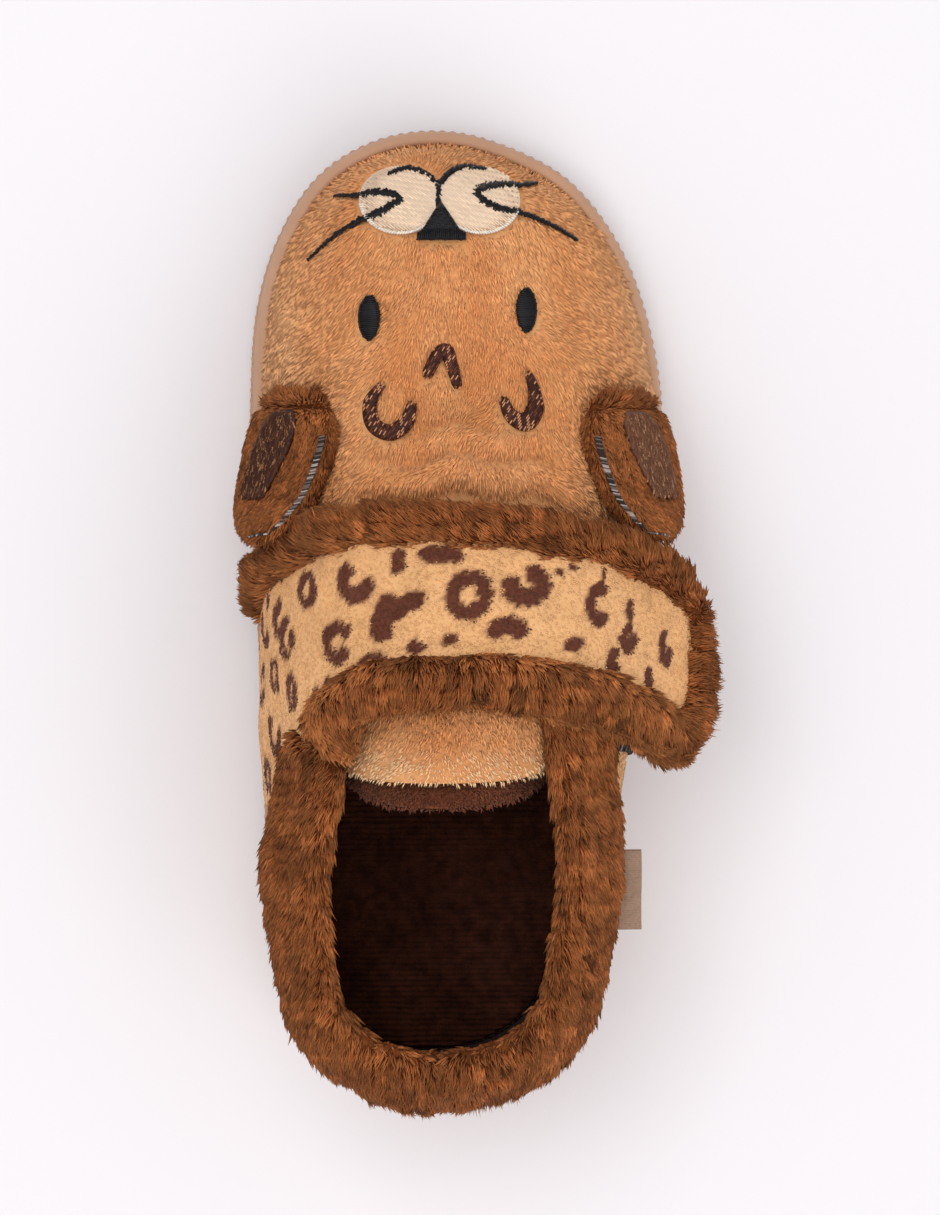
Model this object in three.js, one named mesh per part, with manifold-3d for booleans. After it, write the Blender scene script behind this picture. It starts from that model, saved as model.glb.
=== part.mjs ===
// A toddler's plush slipper for the right foot: a rubber cup sole, a soft hollow upper, a tongue,
// a strap that crosses the instep and fastens on the outer side, fur bindings, two ears and an
// embroidered animal's face. The toe points along +Y, the outer side is +X and up is +Z.
import * as THREE from 'three';
import { mergeVertices } from 'three/addons/utils/BufferGeometryUtils.js';
import Module from 'manifold-3d';

const wasm = await Module();
wasm.setup();

// Driving sizes, in millimetres.
const SOLE_LENGTH = 156;
const BALL_WIDTH = 67.4;
const CREST_RISE = 50; // crest of the upper over its lower edge, where the strap crosses
const UPPER_WALL = 3;
const TOPLINE_WALL = 2; // the wall thins towards the collar and the throat
const FIT_GAP = 0.3;
const LAYER_GAP = 1.1; // between layers that curve together, a little more than the fitting gap

const SOLE_FLOOR = 5.5; // rubber under the foot
const RIM_WALL = 2.9;
const RIM_HEIGHT = 12;
const RIM_COVER = 2; // height over the rim at which the wall begins to swell
const TOE_SPRING = 3.5;
const ARCH_HEIGHT = 1.4;
const INSOLE_THICKNESS = 3;
const INSOLE_ROUNDING = 0.65;

const TREAD_DEPTH = 1.5;
const TREAD_WIDTH = 2.2;
const TREAD_PLACES = { heel: [0.08, 0.26], ball: [0.58, 0.86] }; // shares of the length
const RIB_DEPTH = 0.7;
const RIB_WIDTH = 1.6;
const RIB_HEIGHT = 2.6;
const RIB_MIDDLE = 3.8; // height over the ground
const RIB_COUNT = 32;

const TONGUE_THICKNESS = 3.5;
const TONGUE_LINING_THICKNESS = 2.8;
const STRAP_THICKNESS = 3;
const TAPE_THICKNESS = 1.2;
const EAR_THICKNESS = 3.6;
const EAR_LENGTH = 24;
const EAR_BOW = 1.2;
const EAR_LOWER = { medial: 0.028, lateral: 0 }; // how much further down the arch each ear sits
const EAR_ROOT = 0.722; // share of the length at which the ears are sewn on
const EMBROIDERY_THICKNESS = 0.8;

const COLLAR_FUR = { thick: 3.1, wide: 6.4, drop: 2.6 }; // half sizes of the roll, and its centre's drop
const STRAP_FUR = { thick: 2.8, rear: 4.9, end: 4.3, front: 4.2 };
const LABEL = { length: 12.6, reach: 4.9, cloth: 0.5, fold: 0.45, drop: 10.2, clear: 1.05, along: 0.213, tilt: 0.3 };

// Names the columns of a table's rows.
function tableOf(columns, rows) {
  return rows.map((row) => Object.fromEntries(row.map((value, i) => [columns[i], value])));
}

// The last, from heel to toe. along is a share of the sole's length, medial and lateral are the
// sole's edges and belly the wall's swelling as shares of the ball width, crest is a share of the
// crest rise, round the arch's exponent, lean the crest's shift to the outer side, lift a share of
// the toe spring, arch of the arch height, and edge the share of the crest at which the wall stops
// (1 where it closes over the foot).
const EDGE_COLUMNS = ['along', 'medial', 'lateral'];
const SECTION_COLUMNS = [...EDGE_COLUMNS, 'crest', 'round', 'belly', 'lean', 'lift', 'arch', 'edge'];
const SECTIONS = tableOf(SECTION_COLUMNS, [
  [0, -0.07, -0.07, 1.48, 2.9, 0.03, 0, 0, 0, 0.675],
  [0.017, -0.252, 0.119, 1.48, 2.9, 0.03, -0.004, 0, 0, 0.67],
  [0.067, -0.386, 0.26, 1.48, 2.75, 0.034, -0.014, 0, 0, 0.66],
  [0.141, -0.442, 0.329, 1.46, 2.3, 0.05, -0.032, 0, 0, 0.655],
  [0.244, -0.466, 0.368, 1.36, 2.05, 0.07, -0.036, 0, 0.3, 0.69],
  [0.359, -0.472, 0.408, 1.14, 2.05, 0.075, -0.026, 0, 1, 0.81],
  [0.487, -0.487, 0.455, 0.98, 2.25, 0.055, -0.008, 0, 1, 0.945],
  [0.609, -0.502, 0.49, 0.82, 2.3, 0.035, 0, 0, 0, 1.05],
  [0.718, -0.504, 0.496, 0.7, 2.3, 0.028, 0, 0, 0, 1.05],
  [0.811, -0.49, 0.457, 0.64, 2.2, 0.022, 0, 0.12, 0, 1.05],
  [0.888, -0.438, 0.383, 0.61, 2.1, 0.016, 0, 0.38, 0, 1.05],
  [0.951, -0.345, 0.262, 0.576, 2.05, 0.012, 0, 0.68, 0, 1.05],
  [0.988, -0.212, 0.092, 0.552, 2.05, 0.01, 0, 0.92, 0, 1.05],
  [1, -0.059, -0.059, 0.544, 2.05, 0.01, 0, 1, 0, 1.05],
]);
const AROUND = 33; // sections on each side
const QUARTER = Math.PI / 2;
const CREST_FROM = 0.29; // shares of the length between which the crest runs straight over the edge
const CREST_TO = 0.61;
const CREST_CLOSING = { heel: 0.48, toe: 0.37 }; // how much the crest's line draws in beyond them

// The sole's side, from the tread up over the rim to the floor: inset from the sole's edge, and
// height over the ground. The floor and the tread close on the centre line.
const SOLE_SIDE = tableOf(['inset', 'height', 'arched'], [
  [2.6, 0, 1],
  [0.5, 0.9, 1],
  [0, 2, 0.5],
  [0, 5.6, 0],
  [1.1, 6.1, 0],
  [1.1, 6.9, 0],
  [0.5, 7.4, 0],
  [0.9, RIM_HEIGHT - 1, 0],
  [1.6, RIM_HEIGHT, 0],
  [RIM_WALL, RIM_HEIGHT - 0.3, 0],
  [RIM_WALL, SOLE_FLOOR, 0],
]);

// The strap, from its root on the inner side to its free end: across runs from -1, the inner lower
// edge, over the crest at 0, to 1; rear and front are shares of the length; under is the height of
// the strap's underside over the upper, thick a share of the strap's thickness, and thin the share
// of that which is left at the rear edge, where the root fades into the quarter.
const STRAP = tableOf(['across', 'rear', 'front', 'under', 'thick', 'thin'], [
  [-0.87, 0.3, 0.505, 0.5, 0.35, 0.3],
  [-0.72, 0.3, 0.518, 0.5, 0.4, 0.3],
  [-0.57, 0.318, 0.545, 0.55, 0.5, 0.4],
  [-0.42, 0.37, 0.564, 1.6, 0.75, 0.8],
  [-0.25, 0.425, 0.573, 3.4, 1, 1],
  [0, 0.436, 0.574, 4.4, 1, 1],
  [0.24, 0.428, 0.562, 4.7, 1, 1],
  [0.43, 0.408, 0.542, 4.8, 1, 1],
  [0.55, 0.388, 0.52, 5.6, 1, 1],
  [0.62, 0.376, 0.499, 7, 1, 1],
  [0.655, 0.382, 0.478, 8.2, 1, 1],
  [0.672, 0.4, 0.456, 8.9, 1, 1],
]);

// An ear, from its root on the vamp back to its tip: back is a share of its length, inner and outer
// are its edges on the arch, and rise and flare the heights of these edges over the upper.
const EAR = tableOf(['back', 'inner', 'outer', 'rise', 'flare'], [
  [0, 0.42, 0.58, 1.7, 1.7],
  [0.08, 0.382, 0.64, 2.1, 2.2],
  [0.28, 0.362, 0.69, 2.2, 3.3],
  [0.5, 0.38, 0.715, 2.5, 4.1],
  [0.72, 0.43, 0.722, 3.4, 4.8],
  [0.88, 0.5, 0.71, 4.8, 5.2],
  [0.97, 0.56, 0.675, 5.6, 5.4],
  [1, 0.59, 0.65, 5.8, 5.5],
]);
const EAR_PATCH = tableOf(['back', 'inner', 'outer'], [
  [0.15, 0.42, 0.6],
  [0.24, 0.45, 0.78],
  [0.4, 0.52, 0.88],
  [0.58, 0.59, 0.9],
  [0.7, 0.65, 0.84],
]);

// The group of all pieces, and what each material looks like.
const slipper = new THREE.Group();
const MATERIALS = {
  rubber: { color: 0xbf9672, roughness: 0.6 },
  tan_plush: { color: 0xc98d56, roughness: 0.95 },
  spotted_plush: { color: 0xd9a868, roughness: 0.95 },
  brown_fur: { color: 0x7a431d, roughness: 0.95 },
  dark_fleece: { color: 0x2c130c, roughness: 1 },
  brown_fleece: { color: 0x6b4029, roughness: 1 },
  ear_embroidery: { color: 0x4a2c20, roughness: 0.85 },
  cream_thread: { color: 0xe8cbb0, roughness: 0.55 },
  black_thread: { color: 0x14131a, roughness: 0.5 },
  brown_thread: { color: 0x57301f, roughness: 0.5 },
  fastener_tape: { color: 0x3a3230, roughness: 0.8 },
  woven_label: { color: 0x9a755c, roughness: 0.8 },
};

function addPiece(name, material, geometry) {
  const mesh = new THREE.Mesh(geometry, new THREE.MeshStandardMaterial(MATERIALS[material]));
  mesh.name = name;
  slipper.add(mesh);
}

// Merges a list of triangles into a solid, without those that have shrunk to a line.
function solidOf(triangles) {
  const geometry = new THREE.BufferGeometry();
  const flat = new Float32Array(triangles.flatMap((corner) => [corner.x, corner.y, corner.z]));
  geometry.setAttribute('position', new THREE.BufferAttribute(flat, 3));
  const merged = mergeVertices(geometry, 1e-3);
  const kept = [];
  for (let i = 0; i < merged.index.count; i += 3) {
    const [a, b, c] = [0, 1, 2].map((corner) => merged.index.getX(i + corner));
    if (a !== b && b !== c && c !== a) kept.push(a, b, c);
  }
  const vertProperties = merged.attributes.position.array;
  const make = (triVerts) => wasm.Manifold.ofMesh(new wasm.Mesh({ numProp: 3, vertProperties, triVerts }));
  const made = make(new Uint32Array(kept));
  return made.volume() > 0 ? made : make(new Uint32Array(kept).reverse());
}

function geometryOf(solid) {
  const mesh = solid.getMesh();
  const geometry = new THREE.BufferGeometry();
  geometry.setAttribute('position', new THREE.BufferAttribute(mesh.vertProperties, mesh.numProp));
  geometry.setIndex(new THREE.BufferAttribute(mesh.triVerts, 1));
  return geometry;
}

// The largest body of a solid that a cut has left in several.
function largestOf(solid) {
  return solid.decompose().reduce((best, body) => (body.volume() > best.volume() ? body : best));
}

// Two triangles for each cell of a grid of points. Every row is a closed loop; the rows close on
// themselves too, or the first and the last are capped by rungs between the loop's two halves.
// A cell that skip(row, place) names is left out.
function skin(rows, closed, skip = () => false) {
  const triangles = [];
  const quad = (a, b, c, d) => triangles.push(a, b, c, a, c, d);
  const loop = rows[0].length;
  for (let i = 0; i < rows.length - (closed ? 0 : 1); i++) {
    const next = rows[(i + 1) % rows.length];
    for (let j = 0; j < loop; j++) {
      const k = (j + 1) % loop;
      if (!skip(i, j)) quad(rows[i][j], next[j], next[k], rows[i][k]);
    }
  }
  if (!closed) {
    const first = rows[0];
    const last = rows[rows.length - 1];
    for (let j = 0; j < loop / 2 - 1; j++) {
      const across = loop - 1 - j;
      quad(first[j], first[j + 1], first[across - 1], first[across]);
      quad(last[j], last[across], last[across - 1], last[j + 1]);
    }
  }
  return triangles;
}

// A curve through evenly spaced values: value(index) gives them, also one step past either end.
function curveAt(value, place, last) {
  const i = Math.min(Math.floor(place), last - 1);
  const t = place - i;
  const [a, b, c, d] = [value(i - 1), value(i), value(i + 1), value(i + 2)];
  return b + (t / 2) * (c - a + t * (2 * a - 5 * b + 4 * c - d + t * (3 * (b - c) + d - a)));
}

// A column of the section table at a turn: 0 at the heel, 1 at the toe by the outer side, and 2 at
// the heel again by the inner side. The curve is closed, so heel and toe are round.
function sectionValue(column, turn) {
  const last = SECTIONS.length - 1;
  const outer = turn <= 1;
  const value = (index) => {
    const mirrored = index < 0 || index > last;
    const row = SECTIONS[index < 0 ? -index : index > last ? 2 * last - index : index];
    if (column !== 'edgeline') return row[column];
    return outer !== mirrored ? row.lateral : row.medial;
  };
  return curveAt(value, (outer ? turn : 2 - turn) * last, last);
}

function soleEdge(turn) {
  const x = sectionValue('edgeline', turn) * BALL_WIDTH;
  return new THREE.Vector2(x, sectionValue('along', turn) * SOLE_LENGTH);
}

function insetEdge(turn, inset) {
  const step = 1e-3;
  const wrap = (at) => (at + 2) % 2;
  const tangent = soleEdge(wrap(turn + step)).sub(soleEdge(wrap(turn - step))).normalize();
  return soleEdge(turn).add(new THREE.Vector2(-tangent.y, tangent.x).multiplyScalar(inset));
}

// The centre line that the walls lean towards: it runs under the crest and stops short of both ends.
function crestLine(turn) {
  const share = sectionValue('along', turn);
  const before = Math.max(0, CREST_FROM - share);
  const beyond = Math.max(0, share - CREST_TO);
  const forward = (CREST_CLOSING.heel * before ** 2) / CREST_FROM;
  const rearward = (CREST_CLOSING.toe * beyond ** 2) / (1 - CREST_TO);
  const outer = turn <= 1 ? turn : 2 - turn;
  const inner = outer === 0 ? 0 : 2 - outer;
  const middle = (sectionValue('edgeline', outer) + sectionValue('edgeline', inner)) / 2;
  const x = (middle + sectionValue('lean', outer)) * BALL_WIDTH;
  return new THREE.Vector2(x, (share + forward - rearward) * SOLE_LENGTH);
}

// The place between low and high at which a condition stops holding, by halving the span.
const HALVINGS = 40;
function lastPlace(low, high, holds) {
  let [under, over] = [low, high];
  for (let i = 0; i < HALVINGS; i++) {
    const middle = (under + over) / 2;
    if (holds(middle)) under = middle;
    else over = middle;
  }
  return under;
}

// The turn at which the sole's edge reaches a share of the length, on the outer or inner side.
function turnAt(share, outer) {
  const turn = lastPlace(0, 1, (place) => sectionValue('along', place) < share);
  return outer ? turn : 2 - turn;
}

const liftAt = (turn) => Math.max(0, sectionValue('lift', turn)) * TOE_SPRING;
const archAt = (turn) => Math.max(0, sectionValue('arch', turn)) * ARCH_HEIGHT;

// The meridian of the upper at a turn: from the lower edge in the cup up towards the crest line.
function meridianAt(turn) {
  const centre = crestLine(turn);
  const outward = insetEdge(turn, RIM_WALL + FIT_GAP).sub(centre);
  const rise = sectionValue('crest', turn) * CREST_RISE;
  return {
    centre,
    reach: outward.length(),
    outward: outward.clone().normalize(),
    base: SOLE_FLOOR + FIT_GAP + liftAt(turn),
    rise,
    round: sectionValue('round', turn),
    belly: sectionValue('belly', turn) * BALL_WIDTH,
    rim: (RIM_HEIGHT - SOLE_FLOOR + RIM_COVER) / rise,
  };
}

// How far out and how high a meridian is at an angle, as shares: a quarter of a superellipse.
function archShares(round, angle) {
  const out = Math.max(0, Math.cos(angle));
  const up = Math.sin(angle);
  const radius = (out ** round + up ** round) ** (-1 / round);
  return { out: radius * out, up: radius * up };
}

// A point of the upper at an angle of its meridian, 0 at the lower edge and a quarter turn at the
// crest, moved out of its outer face by offset. The belly swells between the rim and the crest.
function meridianPoint(meridian, angle, offset) {
  const { out, up } = archShares(meridian.round, angle);
  const overRim = Math.max(0, (up - meridian.rim) / (1 - meridian.rim));
  const swell = meridian.belly * 4 * overRim * (1 - overRim);
  const far = (meridian.reach + offset) * out + swell;
  const plan = meridian.outward.clone().multiplyScalar(far).add(meridian.centre);
  return new THREE.Vector3(plan.x, plan.y, meridian.base + (meridian.rise + offset) * up);
}

const upperPoint = (turn, angle, offset) => meridianPoint(meridianAt(turn), angle, offset);

// The angle at which the wall stops: at the collar and the throat, or a quarter turn where it closes.
function edgeAngle(turn) {
  const share = sectionValue('edge', turn);
  if (share >= 1) return QUARTER;
  const round = sectionValue('round', turn);
  return Math.atan2(share, (1 - share ** round) ** (1 / round));
}

// How much an angle changes over a real distance along a meridian.
function angleStep(turn, angle, distance) {
  const small = 0.01;
  const moved = upperPoint(turn, angle, 0).distanceTo(upperPoint(turn, angle - small, 0));
  return (distance * small) / moved;
}

// A point over the arch of the foot: along is a share of the length, and across runs from -1 at the
// inner lower edge over the crest at 0 to 1 at the outer one.
function archPoint(along, across, offset) {
  const angle = (1 - Math.min(1, Math.abs(across))) * QUARTER;
  return upperPoint(turnAt(along, across > 0), angle, offset);
}

// The point of the upper that lies straight under a place in the plan, seen from above the vamp.
const VAMP_FROM = 0.3; // the turn from which the search for its meridian starts
function vampPoint(x, y, offset) {
  const place = new THREE.Vector2(x, y);
  const tip = crestLine(1);
  const centreX = y < tip.y ? crestLine(turnAt(y / SOLE_LENGTH, true)).x : tip.x;
  const outer = x > centreX;
  const sideTurn = (turn) => (outer ? turn : 2 - turn);
  const sign = outer ? 1 : -1;
  const turn = lastPlace(VAMP_FROM, 1, (middle) => {
    const meridian = meridianAt(sideTurn(middle));
    return sign * meridian.outward.cross(place.clone().sub(meridian.centre)) > 0;
  });
  const meridian = meridianAt(sideTurn(turn));
  const distance = place.distanceTo(meridian.centre);
  const angle = lastPlace(0, QUARTER, (middle) => {
    const point = meridianPoint(meridian, middle, offset);
    return meridian.centre.distanceTo(new THREE.Vector2(point.x, point.y)) > distance;
  });
  return new THREE.Vector3(x, y, meridianPoint(meridian, angle, offset).z);
}

function steps(count, from, to) {
  return Array.from({ length: count + 1 }, (_, i) => from + ((to - from) * i) / count);
}

// The turns around the shoe at which its sections stand: evenly spaced along the outer edge, and
// the same on the inner side, so that the two sides meet at the crest.
const EDGE_SAMPLES = 600;
function turnsAround(perSide) {
  const fine = steps(EDGE_SAMPLES, 0, 1);
  const lengths = [0];
  for (let i = 1; i < fine.length; i++) {
    lengths.push(lengths[i - 1] + soleEdge(fine[i]).distanceTo(soleEdge(fine[i - 1])));
  }
  const side = steps(perSide, 0, lengths[fine.length - 1]).map((length) => {
    const i = Math.min(fine.length - 2, lengths.findLastIndex((reached) => reached <= length));
    const part = (length - lengths[i]) / (lengths[i + 1] - lengths[i]);
    return fine[i] + part * (fine[i + 1] - fine[i]);
  });
  return [...side, ...side.slice(1, -1).reverse().map((turn) => 2 - turn)];
}

// Cup sole: one rubber moulding with a tread, a ribbed lower band, a groove and a rim.
function outsole() {
  const columns = turnsAround(AROUND).map((turn) => {
    const centre = crestLine(turn);
    const under = turnAt(centre.y / SOLE_LENGTH, true);
    const side = SOLE_SIDE.map(({ inset, height, arched }) => {
      const edge = insetEdge(turn, inset);
      return new THREE.Vector3(edge.x, edge.y, height + liftAt(turn) + arched * archAt(turn));
    });
    const tread = new THREE.Vector3(centre.x, centre.y, liftAt(under) + archAt(under));
    const floor = new THREE.Vector3(centre.x, centre.y, liftAt(under) + SOLE_FLOOR);
    return [tread, ...side, floor];
  });
  const loop = columns[0].length;
  let sole = solidOf(skin(columns, true, (i, j) => j === loop - 1));
  for (const cutter of [...treadGrooves(), ...sideNotches()]) sole = sole.subtract(cutter);
  return sole;
}

// The corners of a geometry's triangles, as a list of points.
function cornersOf(geometry) {
  const at = geometry.getAttribute('position');
  return Array.from({ length: at.count }, (_, i) => new THREE.Vector3().fromBufferAttribute(at, i));
}

function cutterBox(width, length, height, place, heading) {
  const box = new THREE.BoxGeometry(width, length, height).toNonIndexed();
  box.rotateZ(heading);
  box.translate(place.x, place.y, place.z);
  return solidOf(cornersOf(box));
}

function treadGrooves() {
  const places = [...steps(3, ...TREAD_PLACES.heel), ...steps(6, ...TREAD_PLACES.ball)];
  return places.map((share) => {
    const turn = turnAt(share, true);
    const place = new THREE.Vector3(0, share * SOLE_LENGTH, liftAt(turn) + archAt(turn));
    return cutterBox(2 * BALL_WIDTH, TREAD_WIDTH, 2 * TREAD_DEPTH, place, 0);
  });
}

function sideNotches() {
  return turnsAround(RIB_COUNT / 2).map((turn) => {
    const edge = insetEdge(turn, 0);
    const inward = insetEdge(turn, RIB_DEPTH).sub(edge);
    const place = new THREE.Vector3(edge.x, edge.y, RIB_MIDDLE + liftAt(turn));
    return cutterBox(RIB_WIDTH, 2 * RIB_DEPTH, RIB_HEIGHT, place, inward.angle() - QUARTER);
  });
}

// Insole: a fleece-covered foam bed that lies on the cup's floor inside the upper.
function insole() {
  const inset = RIM_WALL + UPPER_WALL + 2 * FIT_GAP;
  const columns = turnsAround(AROUND).map((turn) => {
    const centre = crestLine(turn);
    const under = turnAt(centre.y / SOLE_LENGTH, true);
    const rim = insetEdge(turn, inset + INSOLE_ROUNDING);
    const edge = insetEdge(turn, inset);
    const low = SOLE_FLOOR + FIT_GAP;
    const top = low + INSOLE_THICKNESS;
    return [
      new THREE.Vector3(centre.x, centre.y, low + liftAt(under)),
      new THREE.Vector3(edge.x, edge.y, low + liftAt(turn)),
      new THREE.Vector3(edge.x, edge.y, top - INSOLE_ROUNDING + liftAt(turn)),
      new THREE.Vector3(rim.x, rim.y, top + liftAt(turn)),
      new THREE.Vector3(centre.x, centre.y, top + liftAt(under)),
    ];
  });
  return solidOf(skin(columns, true, (i, j) => j === columns[0].length - 1));
}

// Upper: one hollow wall, closed over the toe and the vamp, open at the collar and throat and
// underneath. grow makes it larger all over, as the room that its neighbours leave it.
function upper(grow = 0) {
  const turns = turnsAround(AROUND);
  const rise = steps(7, 0, 1);
  const columns = turns.map((turn) => {
    const meridian = meridianAt(turn);
    const edge = edgeAngle(turn);
    const open = edge < QUARTER;
    const top = open ? edge + angleStep(turn, edge, grow) : QUARTER;
    const thinning = open ? UPPER_WALL - TOPLINE_WALL : 0;
    const outside = rise.map((share) => meridianPoint(meridian, share * top, grow));
    const depth = (share) => thinning * share ** 2 - UPPER_WALL - grow;
    const inside = rise.map((share) => meridianPoint(meridian, share * top, depth(share)));
    return { open, loop: [...outside, ...inside.reverse()] };
  });
  const rim = rise.length - 1;
  const shut = (i) => !columns[i].open && !columns[(i + 1) % columns.length].open;
  return solidOf(skin(columns.map((column) => column.loop), true, (i, j) => j === rim && shut(i)));
}

// A layer over the arch of the foot: rows of { across, rear, front, low, thick, thin }, where thin
// is the share of the thickness at the rear edge. The places between rear and front are even.
function archLayer(rows, cells, grow = 0) {
  const reach = grow / SOLE_LENGTH;
  const loops = rows.map(({ across, rear, front, low, thick, thin = 1 }) => {
    const shares = steps(cells, 0, 1);
    const along = (share) => rear - reach + share * (front - rear + 2 * reach);
    const height = (share) => low + thick * (thin + (1 - thin) * Math.min(1, 2 * share)) + grow;
    const lower = shares.map((share) => archPoint(along(share), across, low - grow));
    const higher = shares.map((share) => archPoint(along(share), across, height(share)));
    return [...lower, ...higher.reverse()];
  });
  return solidOf(skin(loops, false));
}

// Tongue: a plush flap under the throat and the strap, and the fleece that lines it.
// Rear, front and rounding are shares of the length, and half is a share of the arch.
const TONGUE = { rear: 0.325, front: 0.59, half: 0.6, rounding: 0.05 };
const TONGUE_LINING = { rear: 0.304, front: 0.59, half: 0.56, rounding: 0.05 };

function tongueLayer({ rear, front, half, rounding }, low, thick, grow) {
  const reach = half + grow / BALL_WIDTH;
  const rows = steps(12, -reach, reach).map((across) => {
    const drawn = rounding * (across / half) ** 4;
    return { across, rear: rear + drawn, front: front - drawn, low, thick };
  });
  return archLayer(rows, 6, grow);
}

function tongue(grow = 0) {
  const low = -UPPER_WALL - LAYER_GAP - TONGUE_THICKNESS;
  return tongueLayer(TONGUE, low, TONGUE_THICKNESS, grow);
}

function tongueLining(grow = 0) {
  const low = -UPPER_WALL - TONGUE_THICKNESS - 2 * LAYER_GAP - TONGUE_LINING_THICKNESS;
  return tongueLayer(TONGUE_LINING, low, TONGUE_LINING_THICKNESS, grow);
}

// Strap: printed plush from the inner side over the instep, with its free end standing off.
// A column of a table at a share of its rows, on a smooth curve that ends straight.
function tableValue(table, column, share) {
  const last = table.length - 1;
  const value = (index) => {
    if (index < 0) return 2 * table[0][column] - table[1][column];
    if (index > last) return 2 * table[last][column] - table[last - 1][column];
    return table[index][column];
  };
  return curveAt(value, share * last, last);
}

const strapValue = (column, share) => tableValue(STRAP, column, share);

function strap(grow = 0) {
  const rows = steps(24, 0, 1).map((share) => {
    const beyond = grow * (Number(share === 1) - Number(share === 0));
    return {
      across: strapValue('across', share) + (2 * beyond) / BALL_WIDTH,
      rear: strapValue('rear', share),
      front: strapValue('front', share),
      low: strapValue('under', share),
      thick: strapValue('thick', share) * STRAP_THICKNESS,
      thin: strapValue('thin', share),
    };
  });
  return archLayer(rows, 6, grow);
}

// Bindings: one strip of fur fabric rolled over the edges. It starts on the outer side of the
// throat, goes round the collar, up the strap's rear edge, round its end, back along its front edge
// and down the inner side to the sole. It is cut in two where the collar meets the strap.
const COLLAR_START = 0.455; // on the outer side, as a share of the length
const COLLAR_END = 0.33; // on the inner side
const STRAP_TRIM = { from: 0.32, to: 0.9 }; // shares of the strap between which its rear edge is bound

function collarPath() {
  const from = turnAt(COLLAR_START, true);
  const to = turnAt(COLLAR_END, false);
  const turns = [...steps(15, from, 0), ...steps(12, 2, to).slice(1)];
  return turns.map((turn) => {
    const angle = edgeAngle(turn) - angleStep(turn, edgeAngle(turn), COLLAR_FUR.drop);
    const centre = upperPoint(turn, angle, -TOPLINE_WALL / 2);
    const away = upperPoint(turn, angle, 1).sub(upperPoint(turn, angle, -1)).normalize();
    return { centre, away, thick: COLLAR_FUR.thick, wide: COLLAR_FUR.wide };
  });
}

function strapEdgePoint(share, column, wide) {
  const across = strapValue('across', share);
  const height = strapValue('under', share) + (strapValue('thick', share) * STRAP_THICKNESS) / 2;
  const along = strapValue(column, share);
  const centre = archPoint(along, across, height);
  const away = archPoint(along, across, height + 1).sub(archPoint(along, across, height - 1));
  return { centre, away: away.normalize(), thick: STRAP_FUR.thick, wide };
}

function strapPath() {
  const { from, to } = STRAP_TRIM;
  const rear = steps(11, from, to).map((share) => strapEdgePoint(share, 'rear', STRAP_FUR.rear));
  const end = strapEdgePoint(1, 'rear', STRAP_FUR.end);
  end.centre.add(strapEdgePoint(1, 'front', STRAP_FUR.end).centre).multiplyScalar(0.5);
  const front = steps(14, to, 0).map((share) => strapEdgePoint(share, 'front', STRAP_FUR.front));
  return [...rear, end, ...front];
}

// Smooth values between the stations of a path.
function pathAt(path, place) {
  const last = path.length - 1;
  const row = (index) => path[Math.min(last, Math.max(0, index))];
  const at = (pick) => curveAt((index) => pick(row(index)), place, last);
  const axes = ['x', 'y', 'z'];
  const vector = (pick) => new THREE.Vector3(...axes.map((axis) => at((station) => pick(station)[axis])));
  return {
    centre: vector((station) => station.centre),
    away: vector((station) => station.away).normalize(),
    thick: at((station) => station.thick),
    wide: at((station) => station.wide),
  };
}

// A roll of fur fabric along part of a path: a blunt oval section that stands square to it.
const ROLL_CORNERS = 10;
const ROLL_BLUNT = 0.85; // 1 is an ellipse, and less is squarer
const ROLL_STEP = 0.05; // of a station's spacing, over which its heading is taken
const blunt = (value) => Math.sign(value) * Math.abs(value) ** ROLL_BLUNT;
function roll(path, from, to, count) {
  const last = path.length - 1;
  const rows = steps(count, from, to).map((place) => {
    const { centre, away, thick, wide } = pathAt(path, place);
    const ahead = pathAt(path, Math.min(last, place + ROLL_STEP)).centre;
    const behind = pathAt(path, Math.max(0, place - ROLL_STEP)).centre;
    const heading = ahead.sub(behind).normalize();
    const side = new THREE.Vector3().crossVectors(away, heading).normalize();
    const out = new THREE.Vector3().crossVectors(heading, side);
    return Array.from({ length: ROLL_CORNERS }, (_, i) => {
      const turn = ((i + 0.5) / ROLL_CORNERS) * 2 * Math.PI;
      const point = centre.clone().addScaledVector(out, thick * blunt(Math.cos(turn)));
      return point.addScaledVector(side, wide * blunt(Math.sin(turn)));
    });
  });
  return solidOf(skin(rows, false));
}

// Ears: padded flaps sewn on at their front edge, lying back along the vamp and standing off it.
// A point of an ear: back runs from root to tip, beside from 0 at the inner to 1 at the outer edge,
// and height from 0 at its underside to 1 at its crown, plus a real distance. Its padding is full
// in the middle and thin at the edges, a little fuller at the root than at the tip.
const EAR_EDGE = 0.35; // share of the thickness that the edges keep
function earPoint(side, back, beside, height, extra = 0) {
  const along = EAR_ROOT - (back * EAR_LENGTH) / SOLE_LENGTH;
  const at = (column) => earValue(column, back);
  const bow = 4 * beside * (1 - beside);
  const ends = Math.min(1, 0.25 + 3 * back, 0.2 + 6 * (1 - back));
  const full = EAR_EDGE + (1 - EAR_EDGE) * Math.sqrt(bow * ends);
  const offset = extra + (height - 0.5) * full * EAR_THICKNESS;
  const lower = side > 0 ? EAR_LOWER.lateral : EAR_LOWER.medial;
  const across = (column) => side * (lower + at(column));
  const inner = archPoint(along, across('inner'), at('rise') + offset);
  const outer = archPoint(along, across('outer'), at('flare') + offset);
  const middle = (across('inner') + across('outer')) / 2;
  const lifted = archPoint(along, middle, EAR_BOW * bow).sub(archPoint(along, middle, 0));
  return inner.lerp(outer, beside).add(lifted);
}

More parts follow.
